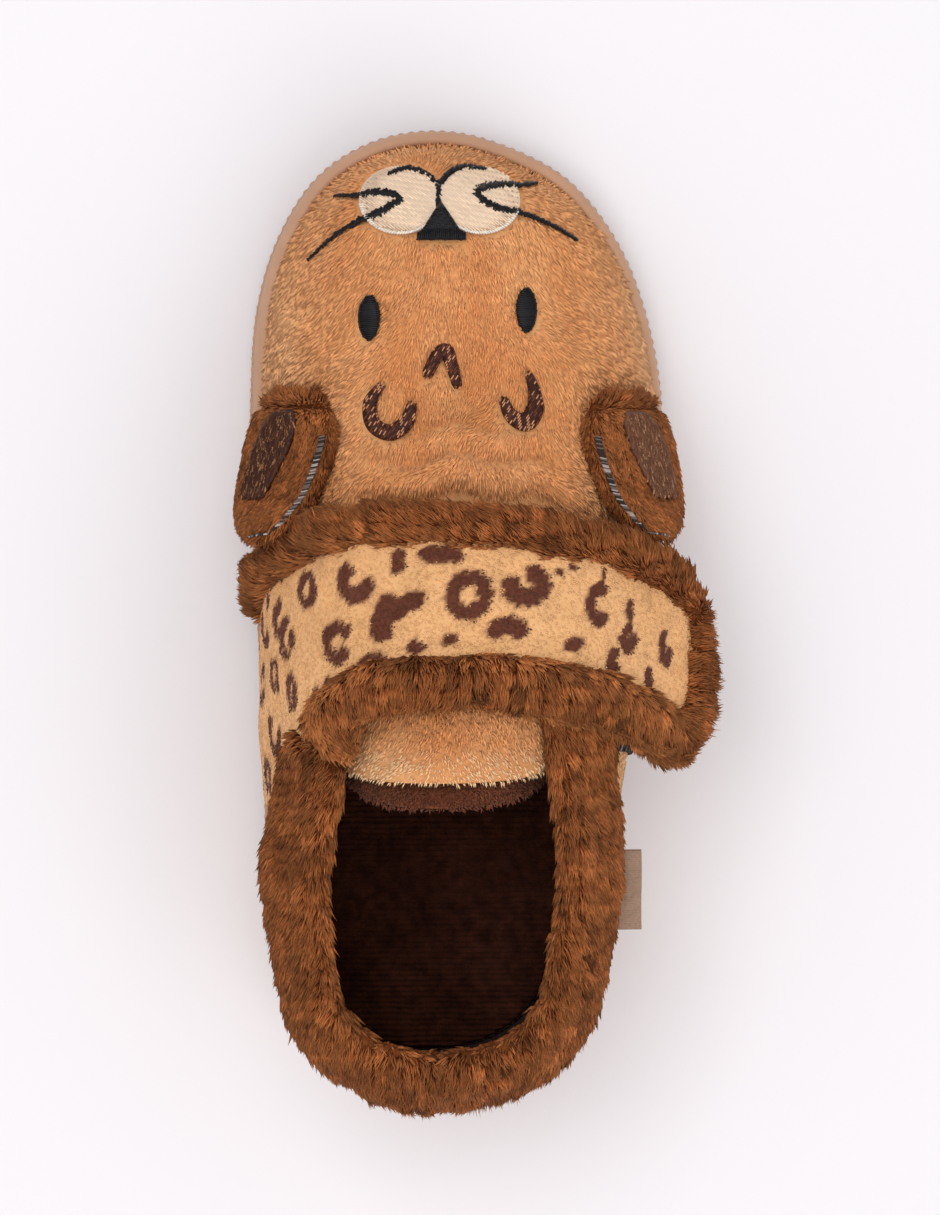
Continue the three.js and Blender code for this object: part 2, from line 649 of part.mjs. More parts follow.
// A column of the ear's table at a share of its length.
function earValue(column, back) {
  const next = Math.max(1, EAR.findIndex((row) => row.back >= back - 1e-9));
  const [a, b] = [EAR[next - 1], EAR[next]];
  return a[column] + ((back - a.back) / (b.back - a.back)) * (b[column] - a[column]);
}

const EAR_ROWS = [0, 0.03, 0.08, 0.18, 0.28, 0.39, 0.5, 0.61, 0.72, 0.8, 0.88, 0.93, 0.97, 1];
function ear(side) {
  const beside = steps(6, 0, 1);
  const rows = EAR_ROWS.map((back) => [
    ...beside.map((place) => earPoint(side, back, place, 0)),
    ...beside.map((place) => earPoint(side, back, place, 1)).reverse(),
  ]);
  return solidOf(skin(rows, false));
}

// The stitched patch on the outer half of an ear's crown.
function earPatch(side) {
  const rows = EAR_PATCH.map(({ back, inner, outer }) => {
    const places = steps(3, inner, outer);
    const face = (lift) => places.map((place) => earPoint(side, back, place, 1, lift));
    return [...face(FIT_GAP), ...face(FIT_GAP + EMBROIDERY_THICKNESS).reverse()];
  });
  return solidOf(skin(rows, false));
}

// Fastener tapes: the loop side sewn on the outer quarter, the hook side under the strap's end.
const LOOP_TAPE = { from: 0.6, to: 0.8, rear: 0.385, front: 0.5 }; // on the arch
const HOOK_TAPE = { from: 0.6, to: 0.78, inRear: 6, inFront: 5.4 }; // along the strap, in from its edges

function loopTape() {
  const { from, to, rear, front } = LOOP_TAPE;
  const tape = { rear, front, low: FIT_GAP, thick: TAPE_THICKNESS };
  return archLayer(steps(5, from, to).map((across) => ({ across, ...tape })), 4);
}

function hookTape() {
  const { from, to, inRear, inFront } = HOOK_TAPE;
  const rows = steps(5, from, to).map((share) => ({
    across: strapValue('across', share),
    rear: strapValue('rear', share) + inRear / SOLE_LENGTH,
    front: strapValue('front', share) - inFront / SOLE_LENGTH,
    low: strapValue('under', share) - FIT_GAP - TAPE_THICKNESS,
    thick: TAPE_THICKNESS,
  }));
  return archLayer(rows, 4);
}

// Embroidery: thin pads that follow the vamp. A blot is an outline round a centre, given by
// radius(angle) in the plan; a stroke is a line of { x, y, wide }.
const STROKE_STEP = 0.1; // of a point's spacing, over which a stroke's heading is taken
function vampPad(loopsInPlan, low, high) {
  const face = (offset) => loopsInPlan.map((loop) => loop.map(([x, y]) => vampPoint(x, y, offset)));
  const [under, over] = [face(low), face(high)];
  return { under, over };
}

function blot(centre, radius, level, rings = 2, corners = 16) {
  const low = FIT_GAP + level;
  const turns = Array.from({ length: corners }, (_, i) => (i / corners) * 2 * Math.PI);
  const loops = steps(rings, 0, 1).map((share) =>
    turns.map((turn) => {
      const far = share * radius(turn);
      return [centre.x + far * Math.cos(turn), centre.y + far * Math.sin(turn)];
    }),
  );
  const { under, over } = vampPad(loops, low, low + EMBROIDERY_THICKNESS);
  const columns = turns.map((_, i) => {
    const spoke = (rings) => rings.map((loop) => loop[i]);
    return [...spoke(under), ...spoke(over).reverse()];
  });
  return solidOf(skin(columns, true, (i, j) => j === columns[0].length - 1));
}

function stroke(line) {
  const last = line.length - 1;
  const row = (index) => line[Math.min(last, Math.max(0, index))];
  const at = (column, place) => curveAt((index) => row(index)[column], place, last);
  const pointAt = (place) => new THREE.Vector2(at('x', place), at('y', place));
  const loops = steps(3 * last, 0, last).map((place) => {
    const ahead = pointAt(Math.min(last, place + STROKE_STEP));
    const heading = ahead.sub(pointAt(Math.max(0, place - STROKE_STEP))).normalize();
    return [-1, 0, 1].map((side) => {
      const far = (side * at('wide', place)) / 2;
      return [at('x', place) - heading.y * far, at('y', place) + heading.x * far];
    });
  });
  const { under, over } = vampPad(loops, FIT_GAP, FIT_GAP + EMBROIDERY_THICKNESS);
  return solidOf(skin(under.map((loop, i) => [...loop, ...over[i].slice().reverse()]), false));
}

const oval = ({ halfX, halfY }) => (turn) => 1 / Math.hypot(Math.cos(turn) / halfX, Math.sin(turn) / halfY);

// The face's places in the plan follow the ball width and the length.
const onPlan = (x, y) => ({ x: x * BALL_WIDTH, y: y * SOLE_LENGTH });
const MUZZLE = { ...onPlan(-0.057, 0.918), lobe: 6.5, apart: 6.4, tall: 5.7, waist: 2.4 };
const NOSE = { ...onPlan(-0.057, 0.892), half: 4.1, tip: 3.8, base: 2.7 };
const EYES = { inner: onPlan(-0.227, 0.796), outer: onPlan(0.145, 0.804) };
const EYE = { halfX: 1.7, halfY: 3.6 };

// Two round lobes side by side, seen from the point between them.
function muzzleRadius(turn) {
  const { lobe, apart, tall, waist } = MUZZLE;
  const [c, s] = [Math.abs(Math.cos(turn)), Math.sin(turn)];
  const square = (c / lobe) ** 2 + (s / tall) ** 2;
  const linear = (-2 * c * apart) / lobe ** 2;
  const constant = (apart / lobe) ** 2 - 1;
  const root = Math.sqrt(Math.max(0, linear ** 2 - 4 * square * constant));
  return Math.max(waist, (root - linear) / (2 * square));
}

// A triangle with its tip towards the toe, drawn as the nearest of its three sides.
function noseRadius(turn) {
  const [c, s] = [Math.abs(Math.cos(turn)), Math.sin(turn)];
  const slope = (NOSE.tip + NOSE.base) / NOSE.half;
  const towardsSide = s + slope * c;
  const side = towardsSide > 0 ? NOSE.tip / towardsSide : Infinity;
  const base = s < 0 ? NOSE.base / -s : Infinity;
  return Math.min(side, base);
}

// Rows of x, y and width, from one end of a stroke to the other.
const strokeOf = (rows) => rows.map(([x, y, wide]) => ({ ...onPlan(x, y), wide }));
const BROW_MARK = strokeOf([
  [-0.09, 0.738, 2.2],
  [-0.068, 0.756, 2.6],
  [-0.046, 0.762, 2.8],
  [-0.034, 0.748, 2.5],
  [-0.021, 0.727, 2],
]);
const INNER_SPOT = strokeOf([
  [-0.198, 0.727, 1.5],
  [-0.225, 0.709, 2.6],
  [-0.218, 0.687, 3],
  [-0.18, 0.678, 3.2],
  [-0.142, 0.688, 3],
  [-0.128, 0.706, 2],
]);
const OUTER_SPOT = strokeOf([
  [0.088, 0.711, 2],
  [0.106, 0.695, 2.8],
  [0.14, 0.689, 3.6],
  [0.162, 0.702, 3.4],
  [0.161, 0.722, 2.4],
  [0.148, 0.738, 1.5],
]);

// Side label: a folded strip of woven cloth that stands out from under the collar's fur.
function label() {
  const { length, reach, cloth, fold, drop, clear, along, tilt } = LABEL;
  const half = cloth + fold / 2;
  const bend = reach - half;
  const outline = new THREE.Shape();
  outline.moveTo(0, half);
  outline.lineTo(bend, half);
  outline.absarc(bend, 0, half, QUARTER, -QUARTER, true);
  outline.lineTo(0, -half);
  outline.lineTo(0, -fold / 2);
  outline.lineTo(bend, -fold / 2);
  outline.absarc(bend, 0, fold / 2, -QUARTER, QUARTER, false);
  outline.lineTo(0, fold / 2);
  const strip = new THREE.ExtrudeGeometry(outline, { depth: length, bevelEnabled: false, curveSegments: 6 });
  const turn = turnAt(along, true);
  const topline = edgeAngle(turn);
  const seat = upperPoint(turn, topline - angleStep(turn, topline, drop), FIT_GAP);
  strip.rotateX(-QUARTER);
  strip.translate(0, -length / 2, 0);
  strip.rotateY(tilt);
  strip.translate(seat.x + clear, seat.y, seat.z);
  return solidOf(cornersOf(strip));
}

// Both bindings, cut where the collar's part meets the strap's, and hollowed for what they hold.
const SEAM_GAP = 0.04; // share of a station's spacing, about the fitting gap
const TRIM_TOLERANCE = 0.06;
function bindings() {
  const room = upper(FIT_GAP).add(strap(FIT_GAP)).add(tongue(FIT_GAP)).add(tongueLining(FIT_GAP));
  const collar = collarPath();
  const path = [...collar, ...strapPath()];
  const seam = collar.length - 0.5;
  const trimmed = (solid) => largestOf(solid.subtract(room)).simplify(TRIM_TOLERANCE);
  return {
    collar: trimmed(roll(path, 0, seam - SEAM_GAP, 38)),
    strap: trimmed(roll(path, seam + SEAM_GAP, path.length - 1, 42)),
  };
}

// Assembly.
const SOLE_TOLERANCE = 0.02;
const bound = bindings();
addPiece('outsole', 'rubber', geometryOf(outsole().simplify(SOLE_TOLERANCE)));
addPiece('insole', 'dark_fleece', geometryOf(insole()));
addPiece('upper', 'tan_plush', geometryOf(upper()));
addPiece('tongue', 'tan_plush', geometryOf(tongue()));
addPiece('tongue_lining', 'brown_fleece', geometryOf(tongueLining()));
addPiece('collar_binding', 'brown_fur', geometryOf(bound.collar));
addPiece('strap', 'spotted_plush', geometryOf(strap()));
addPiece('strap_binding', 'brown_fur', geometryOf(bound.strap));
addPiece('loop_tape', 'fastener_tape', geometryOf(loopTape()));
addPiece('hook_tape', 'fastener_tape', geometryOf(hookTape()));
for (const [name, side] of [['inner', -1], ['outer', 1]]) {
  addPiece(`ear_${name}`, 'brown_fur', geometryOf(ear(side)));
  addPiece(`ear_patch_${name}`, 'ear_embroidery', geometryOf(earPatch(side)));
  addPiece(`eye_${name}`, 'black_thread', geometryOf(blot(EYES[name], oval(EYE), 0, 1, 12)));
}
addPiece('muzzle', 'cream_thread', geometryOf(blot(MUZZLE, muzzleRadius, 0, 3, 22)));
addPiece('nose', 'black_thread', geometryOf(blot(NOSE, noseRadius, FIT_GAP + EMBROIDERY_THICKNESS, 2, 18)));
addPiece('brow_mark', 'brown_thread', geometryOf(stroke(BROW_MARK)));
addPiece('spot_inner', 'brown_thread', geometryOf(stroke(INNER_SPOT)));
addPiece('spot_outer', 'brown_thread', geometryOf(stroke(OUTER_SPOT)));
addPiece('side_label', 'woven_label', geometryOf(label()));

// The origin is on the ground under the middle of the whole slipper.
const bounds = new THREE.Box3().setFromObject(slipper, true);
const centre = bounds.getCenter(new THREE.Vector3());
slipper.position.set(-centre.x, -centre.y, -bounds.min.z);

export default slipper;
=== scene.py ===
# A toddler's plush slipper for the right foot, built in the order in which it is put together.
# All places are worked out in millimetres from the same sizes as the solids, with the heel at
# y 0 and the ground at z 0, and moved to the shared frame when a mesh is made.
import math

import bpy
import numpy as np
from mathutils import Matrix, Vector


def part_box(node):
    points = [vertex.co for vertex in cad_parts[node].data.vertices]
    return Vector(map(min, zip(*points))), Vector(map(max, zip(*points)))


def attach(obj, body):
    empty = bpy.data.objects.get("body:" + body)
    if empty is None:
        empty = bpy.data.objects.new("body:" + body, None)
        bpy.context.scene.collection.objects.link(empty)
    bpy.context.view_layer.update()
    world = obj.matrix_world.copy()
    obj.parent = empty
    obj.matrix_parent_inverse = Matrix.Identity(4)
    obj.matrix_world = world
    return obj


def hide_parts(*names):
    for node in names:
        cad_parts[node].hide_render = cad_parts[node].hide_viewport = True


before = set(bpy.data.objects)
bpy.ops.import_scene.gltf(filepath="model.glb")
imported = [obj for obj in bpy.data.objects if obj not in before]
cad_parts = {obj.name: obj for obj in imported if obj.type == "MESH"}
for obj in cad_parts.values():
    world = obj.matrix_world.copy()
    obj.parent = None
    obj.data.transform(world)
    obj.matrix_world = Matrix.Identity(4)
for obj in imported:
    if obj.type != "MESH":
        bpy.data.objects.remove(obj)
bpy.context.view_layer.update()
MM = 0.001

# Camera: straight over the floor in front of the pair, so the slipper is seen a little from its
# inner side, from 1.1 m up. It turns towards the slipper and frames it alone.
CAMERA_AT = Vector((-0.0415, -0.0027, 1.1))
AIM_AT = Vector((-0.0005, 0.0005, 0.03))
FRAMED_HEIGHT = 0.194


def placed(name, data):
    """An object of the scene that shows some data."""
    item = bpy.data.objects.new(name, data)
    bpy.context.scene.collection.objects.link(item)
    return item


camera_data = bpy.data.cameras.new("camera")
camera = placed("camera", camera_data)
bpy.context.scene.camera = camera
line_of_sight = AIM_AT - CAMERA_AT
camera.location = CAMERA_AT
camera.rotation_euler = (
    -math.atan2(-line_of_sight.y, -line_of_sight.z),
    -math.atan2(line_of_sight.x, -line_of_sight.z),
    0,
)
camera_data.sensor_fit = "VERTICAL"
camera_data.angle = 2 * math.atan(FRAMED_HEIGHT / 2 / line_of_sight.length)
camera_data.clip_end = 10

# Floor and light: a pale matt floor under a large soft lamp and a white surround, as in a light
# tent, so the shadows are faint and wide.
FLOOR_HALF = 3.0
FLOOR_COLOUR = (0.81, 0.795, 0.82, 1)


def linear(red, green, blue):
    """A colour of a screen, from 0 to 255 each, as the light it stands for, from 0 to 1."""
    screen = np.array([red, green, blue]) / 255
    return np.where(screen > 0.04045, ((screen + 0.055) / 1.055) ** 2.4, screen / 12.92)


def new_material(name, roughness, sheen, specular):
    """A material with the shader's plain sockets set, and its nodes to build on."""
    material = bpy.data.materials.new(name)
    material.use_nodes = True
    shader = material.node_tree.nodes["Principled BSDF"]
    shader.inputs["Roughness"].default_value = roughness
    shader.inputs["Sheen Weight"].default_value = sheen
    shader.inputs["Sheen Roughness"].default_value = 0.4
    shader.inputs["Specular IOR Level"].default_value = specular
    return material, material.node_tree, shader


floor_mesh = bpy.data.meshes.new("floor")
floor_corners = [(x * FLOOR_HALF, y * FLOOR_HALF, 0) for x, y in ((-1, -1), (1, -1), (1, 1), (-1, 1))]
floor_mesh.from_pydata(floor_corners, [], [(0, 1, 2, 3)])
floor = placed("floor", floor_mesh)
floor_material, _, floor_shader = new_material("floor", 0.9, 0, 0.1)
floor_shader.inputs["Base Color"].default_value = FLOOR_COLOUR
floor_mesh.materials.append(floor_material)


def lamp(name, place, size, power):
    """A square soft lamp that faces the slipper."""
    data = bpy.data.lights.new(name, "AREA")
    data.size, data.energy = size, power
    item = placed(name, data)
    item.location = place
    item.rotation_euler = (-Vector(place)).to_track_quat("-Z", "Y").to_euler()


lamp("key_lamp", (-0.35, 0.2, 1.6), 1.0, 10.4)
lamp("fill_lamp", (0.6, -1.0, 1.5), 1.4, 10)
world = bpy.data.worlds.new("surround")
world.use_nodes = True
world.node_tree.nodes["Background"].inputs["Color"].default_value = (1.0, 0.985, 1.0, 1)
world.node_tree.nodes["Background"].inputs["Strength"].default_value = 0.7
bpy.context.scene.world = world
bpy.context.scene.view_settings.view_transform = "Standard"

# The last that the pieces follow: a table of sections from heel to toe, as shares of the length,
# the ball width and the crest's rise, joined by smooth curves.
SOLE_LENGTH = 156
BALL_WIDTH = 67.4
CREST_RISE = 50
UPPER_WALL = 3
TOPLINE_WALL = 2
FIT_GAP = 0.3
LAYER_GAP = 1.1
SOLE_FLOOR = 5.5
RIM_WALL = 2.9
RIM_HEIGHT = 12
RIM_COVER = 2
TOE_SPRING = 3.5
ARCH_HEIGHT = 1.4
QUARTER_TURN = math.pi / 2
SECTION_COLUMNS = "along medial lateral crest round belly lean lift arch edge".split()
SECTIONS = np.array([
    [0, -0.07, -0.07, 1.48, 2.9, 0.03, 0, 0, 0, 0.675],
    [0.017, -0.252, 0.119, 1.48, 2.9, 0.03, -0.004, 0, 0, 0.67],
    [0.067, -0.386, 0.26, 1.48, 2.75, 0.034, -0.014, 0, 0, 0.66],
    [0.141, -0.442, 0.329, 1.46, 2.3, 0.05, -0.032, 0, 0, 0.655],
    [0.244, -0.466, 0.368, 1.36, 2.05, 0.07, -0.036, 0, 0.3, 0.69],
    [0.359, -0.472, 0.408, 1.14, 2.05, 0.075, -0.026, 0, 1, 0.81],
    [0.487, -0.487, 0.455, 0.98, 2.25, 0.055, -0.008, 0, 1, 0.945],
    [0.609, -0.502, 0.49, 0.82, 2.3, 0.035, 0, 0, 0, 1.05],
    [0.718, -0.504, 0.496, 0.7, 2.3, 0.028, 0, 0, 0, 1.05],
    [0.811, -0.49, 0.457, 0.64, 2.2, 0.022, 0, 0.12, 0, 1.05],
    [0.888, -0.438, 0.383, 0.61, 2.1, 0.016, 0, 0.38, 0, 1.05],
    [0.951, -0.345, 0.262, 0.576, 2.05, 0.012, 0, 0.68, 0, 1.05],
    [0.988, -0.212, 0.092, 0.552, 2.05, 0.01, 0, 0.92, 0, 1.05],
    [1, -0.059, -0.059, 0.544, 2.05, 0.01, 0, 1, 0, 1.05],
])
CREST_FROM = 0.29
CREST_TO = 0.61
CREST_CLOSING_HEEL = 0.48
CREST_CLOSING_TOE = 0.37


def curve_through(values, place):
    """A smooth curve through evenly spaced values, with one more value past either end: each span
    is a cubic whose slope at an end is half the difference of that end's neighbours."""
    values = np.asarray(values, float)
    place = np.asarray(place, float)
    i = np.clip(np.floor(place).astype(int), 0, len(values) - 4)
    t = place - i
    a, b, c, d = (values[i + k] for k in range(4))
    if values.ndim > 1:
        t = t[..., None]
    return b + t / 2 * (c - a + t * (2 * a - 5 * b + 4 * c - d + t * (3 * (b - c) + d - a)))


def section_column(name):
    """A column with its mirror rows past both ends, for the outer and for the inner side."""
    if name == "edgeline":
        outer, inner = SECTIONS[:, 2], SECTIONS[:, 1]
    else:
        outer = inner = SECTIONS[:, SECTION_COLUMNS.index(name)]
    return [np.concatenate([[b[1]], a, [b[-2]]]) for a, b in ((outer, inner), (inner, outer))]


SECTION_CURVES = {name: section_column(name) for name in SECTION_COLUMNS + ["edgeline"]}


def section(name, turn):
    """A column at a turn: 0 at the heel, 1 at the toe by the outer side, 2 at the heel again."""
    outer, inner = SECTION_CURVES[name]
    place = np.where(turn <= 1, turn, 2 - turn) * (len(SECTIONS) - 1)
    return np.where(turn <= 1, curve_through(outer, place), curve_through(inner, place))


def sole_edge(turn):
    """The sole's outline in the plan."""
    return np.stack([section("edgeline", turn) * BALL_WIDTH, section("along", turn) * SOLE_LENGTH], -1)


def inset_edge(turn, inset):
    """The outline moved inwards, square to its tangent."""
    turn = np.asarray(turn, float)
    ahead = sole_edge((turn + 1e-3) % 2) - sole_edge((turn - 1e-3) % 2)
    tangent = ahead / np.linalg.norm(ahead, axis=-1, keepdims=True)
    normal = np.stack([-tangent[..., 1], tangent[..., 0]], -1)
    return sole_edge(turn) + normal * np.asarray(inset)[..., None]


def crest_line(turn):
    """The line under the crest that the walls lean towards, drawn in at the heel and the toe."""
    share = section("along", turn)
    forward = CREST_CLOSING_HEEL * np.maximum(0, CREST_FROM - share) ** 2 / CREST_FROM
    rearward = CREST_CLOSING_TOE * np.maximum(0, share - CREST_TO) ** 2 / (1 - CREST_TO)
    outer = np.where(turn <= 1, turn, 2 - turn)
    middle = (section("edgeline", outer) + section("edgeline", np.where(outer == 0, 0, 2 - outer))) / 2
    x = (middle + section("lean", outer)) * BALL_WIDTH
    return np.stack([x, (share + forward - rearward) * SOLE_LENGTH], -1)


FINE_TURNS = np.linspace(0, 1, 4001)
FINE_ALONG = section("along", FINE_TURNS)


def turn_at(along, outer):
    """The turn at which the outline reaches a share of the length, on the outer or inner side."""
    turn = np.interp(along, FINE_ALONG, FINE_TURNS)
    return np.where(outer, turn, 2 - turn)


def upper_point(turn, angle, offset=0.0):
    """A point of the upper's outer face, moved out by offset. Over each place of the outline stands
    a quarter of a superellipse from the lower edge, angle 0, to the crest, a quarter turn, with a
    swelling that is a parabola between the rim and the crest."""
    turn, angle, offset = np.broadcast_arrays(*(np.asarray(v, float) for v in (turn, angle, offset)))
    centre = crest_line(turn)
    outward = inset_edge(turn, np.full(turn.shape, RIM_WALL + FIT_GAP)) - centre
    reach = np.linalg.norm(outward, axis=-1)
    outward = outward / reach[..., None]
    rise = section("crest", turn) * CREST_RISE
    power = section("round", turn)
    out, up = np.maximum(1e-9, np.cos(angle)), np.maximum(1e-9, np.sin(angle))
    radius = (out**power + up**power) ** (-1 / power)
    out, up = radius * out, radius * up
    rim = (RIM_HEIGHT - SOLE_FLOOR + RIM_COVER) / rise
    over_rim = np.maximum(0, (up - rim) / (1 - rim))
    swell = section("belly", turn) * BALL_WIDTH * 4 * over_rim * (1 - over_rim)
    plan = centre + outward * ((reach + offset) * out + swell)[..., None]
    base = SOLE_FLOOR + FIT_GAP + np.maximum(0, section("lift", turn)) * TOE_SPRING
    return np.concatenate([plan, (base + (rise + offset) * up)[..., None]], -1)


def arch_point(along, across, offset=0.0):
    """A point over the foot: a share of the length, and -1 at the inner lower edge, 0 at the crest
    and 1 at the outer lower edge."""
    along, across = np.broadcast_arrays(np.asarray(along, float), np.asarray(across, float))
    angle = (1 - np.minimum(1, np.abs(across))) * QUARTER_TURN
    return upper_point(turn_at(along, across > 0), angle, offset)


def edge_angle(turn):
    """The angle at which the wall stops, at the collar and the throat."""
    share = section("edge", turn)
    power = section("round", turn)
    inside = np.maximum(1e-9, 1 - np.minimum(share, 1) ** power)
    return np.where(share >= 1, QUARTER_TURN, np.arctan2(share, inside ** (1 / power)))


def lengths_along(line):
    """The distance from a line's first point to each of its points, along the line."""
    steps = np.linalg.norm(np.diff(line, axis=0), axis=-1)
    return np.concatenate([np.zeros((1, *steps.shape[1:])), np.cumsum(steps, 0)])


def turns_around(per_side):
    """Turns that are evenly spaced along the outer edge, and the same on the inner side."""
    length = lengths_along(sole_edge(FINE_TURNS))
    side = np.interp(np.linspace(0, length[-1], per_side + 1), length, FINE_TURNS)
    return np.concatenate([side, 2 - side[1:-1][::-1]])


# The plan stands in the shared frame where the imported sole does.
SOLE_LOW, SOLE_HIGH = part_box("outsole")
SHIFT = np.array([
    SOLE_HIGH.x / MM - sole_edge(FINE_TURNS)[:, 0].max(),
    SOLE_LOW.y / MM,
    0,
])


def grid_faces(rows, columns, closed_rows=False, closed_columns=True):
    """Four-sided faces of a grid of points numbered row by row."""
    i, j = np.meshgrid(
        np.arange(rows if closed_rows else rows - 1),
        np.arange(columns if closed_columns else columns - 1),
        indexing="ij",
    )
    i, j = i.ravel(), j.ravel()
    k, m = (i + 1) % rows, (j + 1) % columns
    return np.stack([i * columns + j, k * columns + j, k * columns + m, i * columns + m], 1)


def signed_volume(points, faces):
    """Six times a closed surface's volume, from its corners' triple products."""
    total = 0.0
    for first, second in ((1, 2), (2, 3))[: faces.shape[1] - 2]:
        a, b, c = points[faces[:, 0]], points[faces[:, first]], points[faces[:, second]]
        total += np.einsum("ij,ij->", a, np.cross(b, c))
    return total


def make_piece(name, points, face_sets, material, tint, bare=()):
    """A closed mesh from points in millimetres, with one colour or a colour for each point. Its
    faces are turned where needed so that its outside is out. It rides on the slipper's one body, and
    bare names the solids that it stands for."""
    if sum(signed_volume(points, faces) for faces in face_sets) < 0:
        face_sets = [faces[:, ::-1] for faces in face_sets]
    mesh = bpy.data.meshes.new(name)
    loops = np.concatenate([faces.ravel() for faces in face_sets])
    sizes = np.concatenate([np.full(len(faces), faces.shape[1]) for faces in face_sets])
    mesh.vertices.add(len(points))
    mesh.vertices.foreach_set("co", ((points + SHIFT) * MM).astype(np.float32).ravel())
    mesh.loops.add(len(loops))
    mesh.loops.foreach_set("vertex_index", loops.astype(np.int32))
    mesh.polygons.add(len(sizes))
    starts = np.concatenate([[0], np.cumsum(sizes)[:-1]])
    mesh.polygons.foreach_set("loop_start", starts.astype(np.int32))
    mesh.update(calc_edges=True)
    mesh.shade_smooth()
    mesh.materials.append(material)
    whole = np.ones((len(points), 4))
    whole[:, :3] = tint
    colour = mesh.attributes.new("tint", "FLOAT_COLOR", "POINT")
    colour.data.foreach_set("color", whole.astype(np.float32).ravel())
    piece = placed(name, mesh)
    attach(piece, "root")
    if bare:
        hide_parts(*bare)
    return piece


def closed_layer(loops):
    """The points and faces of a layer: each row is a closed loop, lower face out and upper face
    back, and the two end rows are closed by rungs between their halves."""
    rows, columns = loops.shape[:2]
    j = np.arange(columns // 2 - 1)
    rung = np.stack([j, j + 1, columns - 2 - j, columns - 1 - j], 1)
    last = (rows - 1) * columns
    faces = np.concatenate([grid_faces(rows, columns), rung, rung[:, ::-1] + last])
    return loops.reshape(-1, 3), faces


def ripple(points, size, seed, octaves=1):
    """A smooth random value from about -1 to 1 at each point: a sum of sines along random
    directions with wavelengths near size, added again at half the size for each octave."""
    random = np.random.default_rng(seed)
    total = np.zeros(len(points))
    for octave in range(octaves):
        directions = random.normal(size=(7, points.shape[1]))
        directions /= np.linalg.norm(directions, axis=1, keepdims=True)
        waves = 2 * np.pi / (size * random.uniform(0.7, 1.5, 7)) * 2**octave
        phases = points @ directions.T * waves + random.uniform(0, 2 * np.pi, 7)
        total += np.sin(phases).sum(1) / 3.2 / 2**octave
    return total


def rippled(points, waves):
    """The sum of some ripples, each given as its height, size and seed."""
    return sum(height * ripple(points, size, seed) for height, size, seed in waves)


def smooth_step(low, high, value):
    """From 0 at low to 1 at high, with level ends."""
    t = np.clip((value - low) / (high - low), 0, 1)
    return t * t * (3 - 2 * t)


def noise_at(tree, place, scale, detail):
    """A noise of some scale per metre, read at a place's socket."""
    noise = tree.nodes.new("ShaderNodeTexNoise")
    noise.inputs["Scale"].default_value = scale
    noise.inputs["Detail"].default_value = detail
    tree.links.new(place, noise.inputs["Vector"])
    return noise.outputs["Fac"]


def bumped(tree, height, strength, rise, under=None):
    """The normal of a bump by a height's socket, rise in millimetres, over the normal under it."""
    bump = tree.nodes.new("ShaderNodeBump")
    bump.inputs["Strength"].default_value = strength
    bump.inputs["Distance"].default_value = rise * MM
    tree.links.new(height, bump.inputs["Height"])
    if under:
        tree.links.new(under, bump.inputs["Normal"])
    return bump.outputs["Normal"]


def tinted_material(name, roughness, sheen, specular, grain, bump):
    """A cloth or rubber whose colour is the piece's own tint. A fine noise lightens and darkens it,
    grain as scale per metre and strength, and a second one raises it, bump as scale per metre,
    strength and height in millimetres."""
    material, tree, shader = new_material(name, roughness, sheen, specular)
    nodes, links = tree.nodes, tree.links
    place = nodes.new("ShaderNodeTexCoord").outputs["Object"]
    colour = nodes.new("ShaderNodeAttribute")
    colour.attribute_name = "tint"
    lightness = nodes.new("ShaderNodeMapRange")
    limits = {"From Min": 0.3, "From Max": 0.7, "To Min": 1 - grain[1], "To Max": 1 + grain[1]}
    for socket, value in limits.items():
        lightness.inputs[socket].default_value = value
    links.new(noise_at(tree, place, grain[0], 3), lightness.inputs["Value"])
    shaded = nodes.new("ShaderNodeVectorMath")
    shaded.operation = "SCALE"
    links.new(colour.outputs["Color"], shaded.inputs[0])
    links.new(lightness.outputs["Result"], shaded.inputs["Scale"])
    links.new(shaded.outputs["Vector"], shader.inputs["Base Color"])
    raised = bumped(tree, noise_at(tree, place, bump[0], 4), bump[1], bump[2])
    links.new(raised, shader.inputs["Normal"])
    return material


# Outsole: one moulding of matt tan rubber. Its side has a finely ribbed lower band, a groove and a
# smooth rim that holds the upper; the flat bottom is cut by cross grooves.
SOLE_SIDE = np.array([  # inset, height, share of the arch's height
    [2.6, 0, 1], [1.3, 0.25, 1], [0.5, 0.9, 1], [0.1, 1.6, 0.7], [0, 2.2, 0.4], [0, 3.2, 0.1], [0, 4.6, 0],
    [0, 5.3, 0], [0.25, 5.7, 0], [0.95, 5.95, 0], [1.15, 6.3, 0], [1.1, 6.8, 0], [0.65, 7.2, 0],
    [0.45, 7.9, 0], [0.55, 9.4, 0], [0.8, 10.8, 0], [1.1, 11.6, 0], [1.7, 12, 0], [2.4, 12, 0],
    [2.85, 11.6, 0], [RIM_WALL, 10.6, 0], [RIM_WALL, 5.5, 0], [2.65, 5.3, 0], [2.65, 0.2, 1],
])
SOLE_COLUMNS = 560  # on each side
RIB_PITCH = 1.7
RIB_DEPTH = 0.42
RIB_BAND = (1.9, 5.5)
TREAD_PLACES = np.concatenate([np.linspace(0.08, 0.26, 4), np.linspace(0.58, 0.86, 7)])
TREAD_INSET = 2.62
TREAD_WIDTH = 2.2
TREAD_DEPTH = 1.5
RUBBER = linear(186, 144, 114)

rubber = tinted_material("tan_rubber", 0.55, 0, 0.35, (260, 0.05), (2600, 0.25, 0.06))


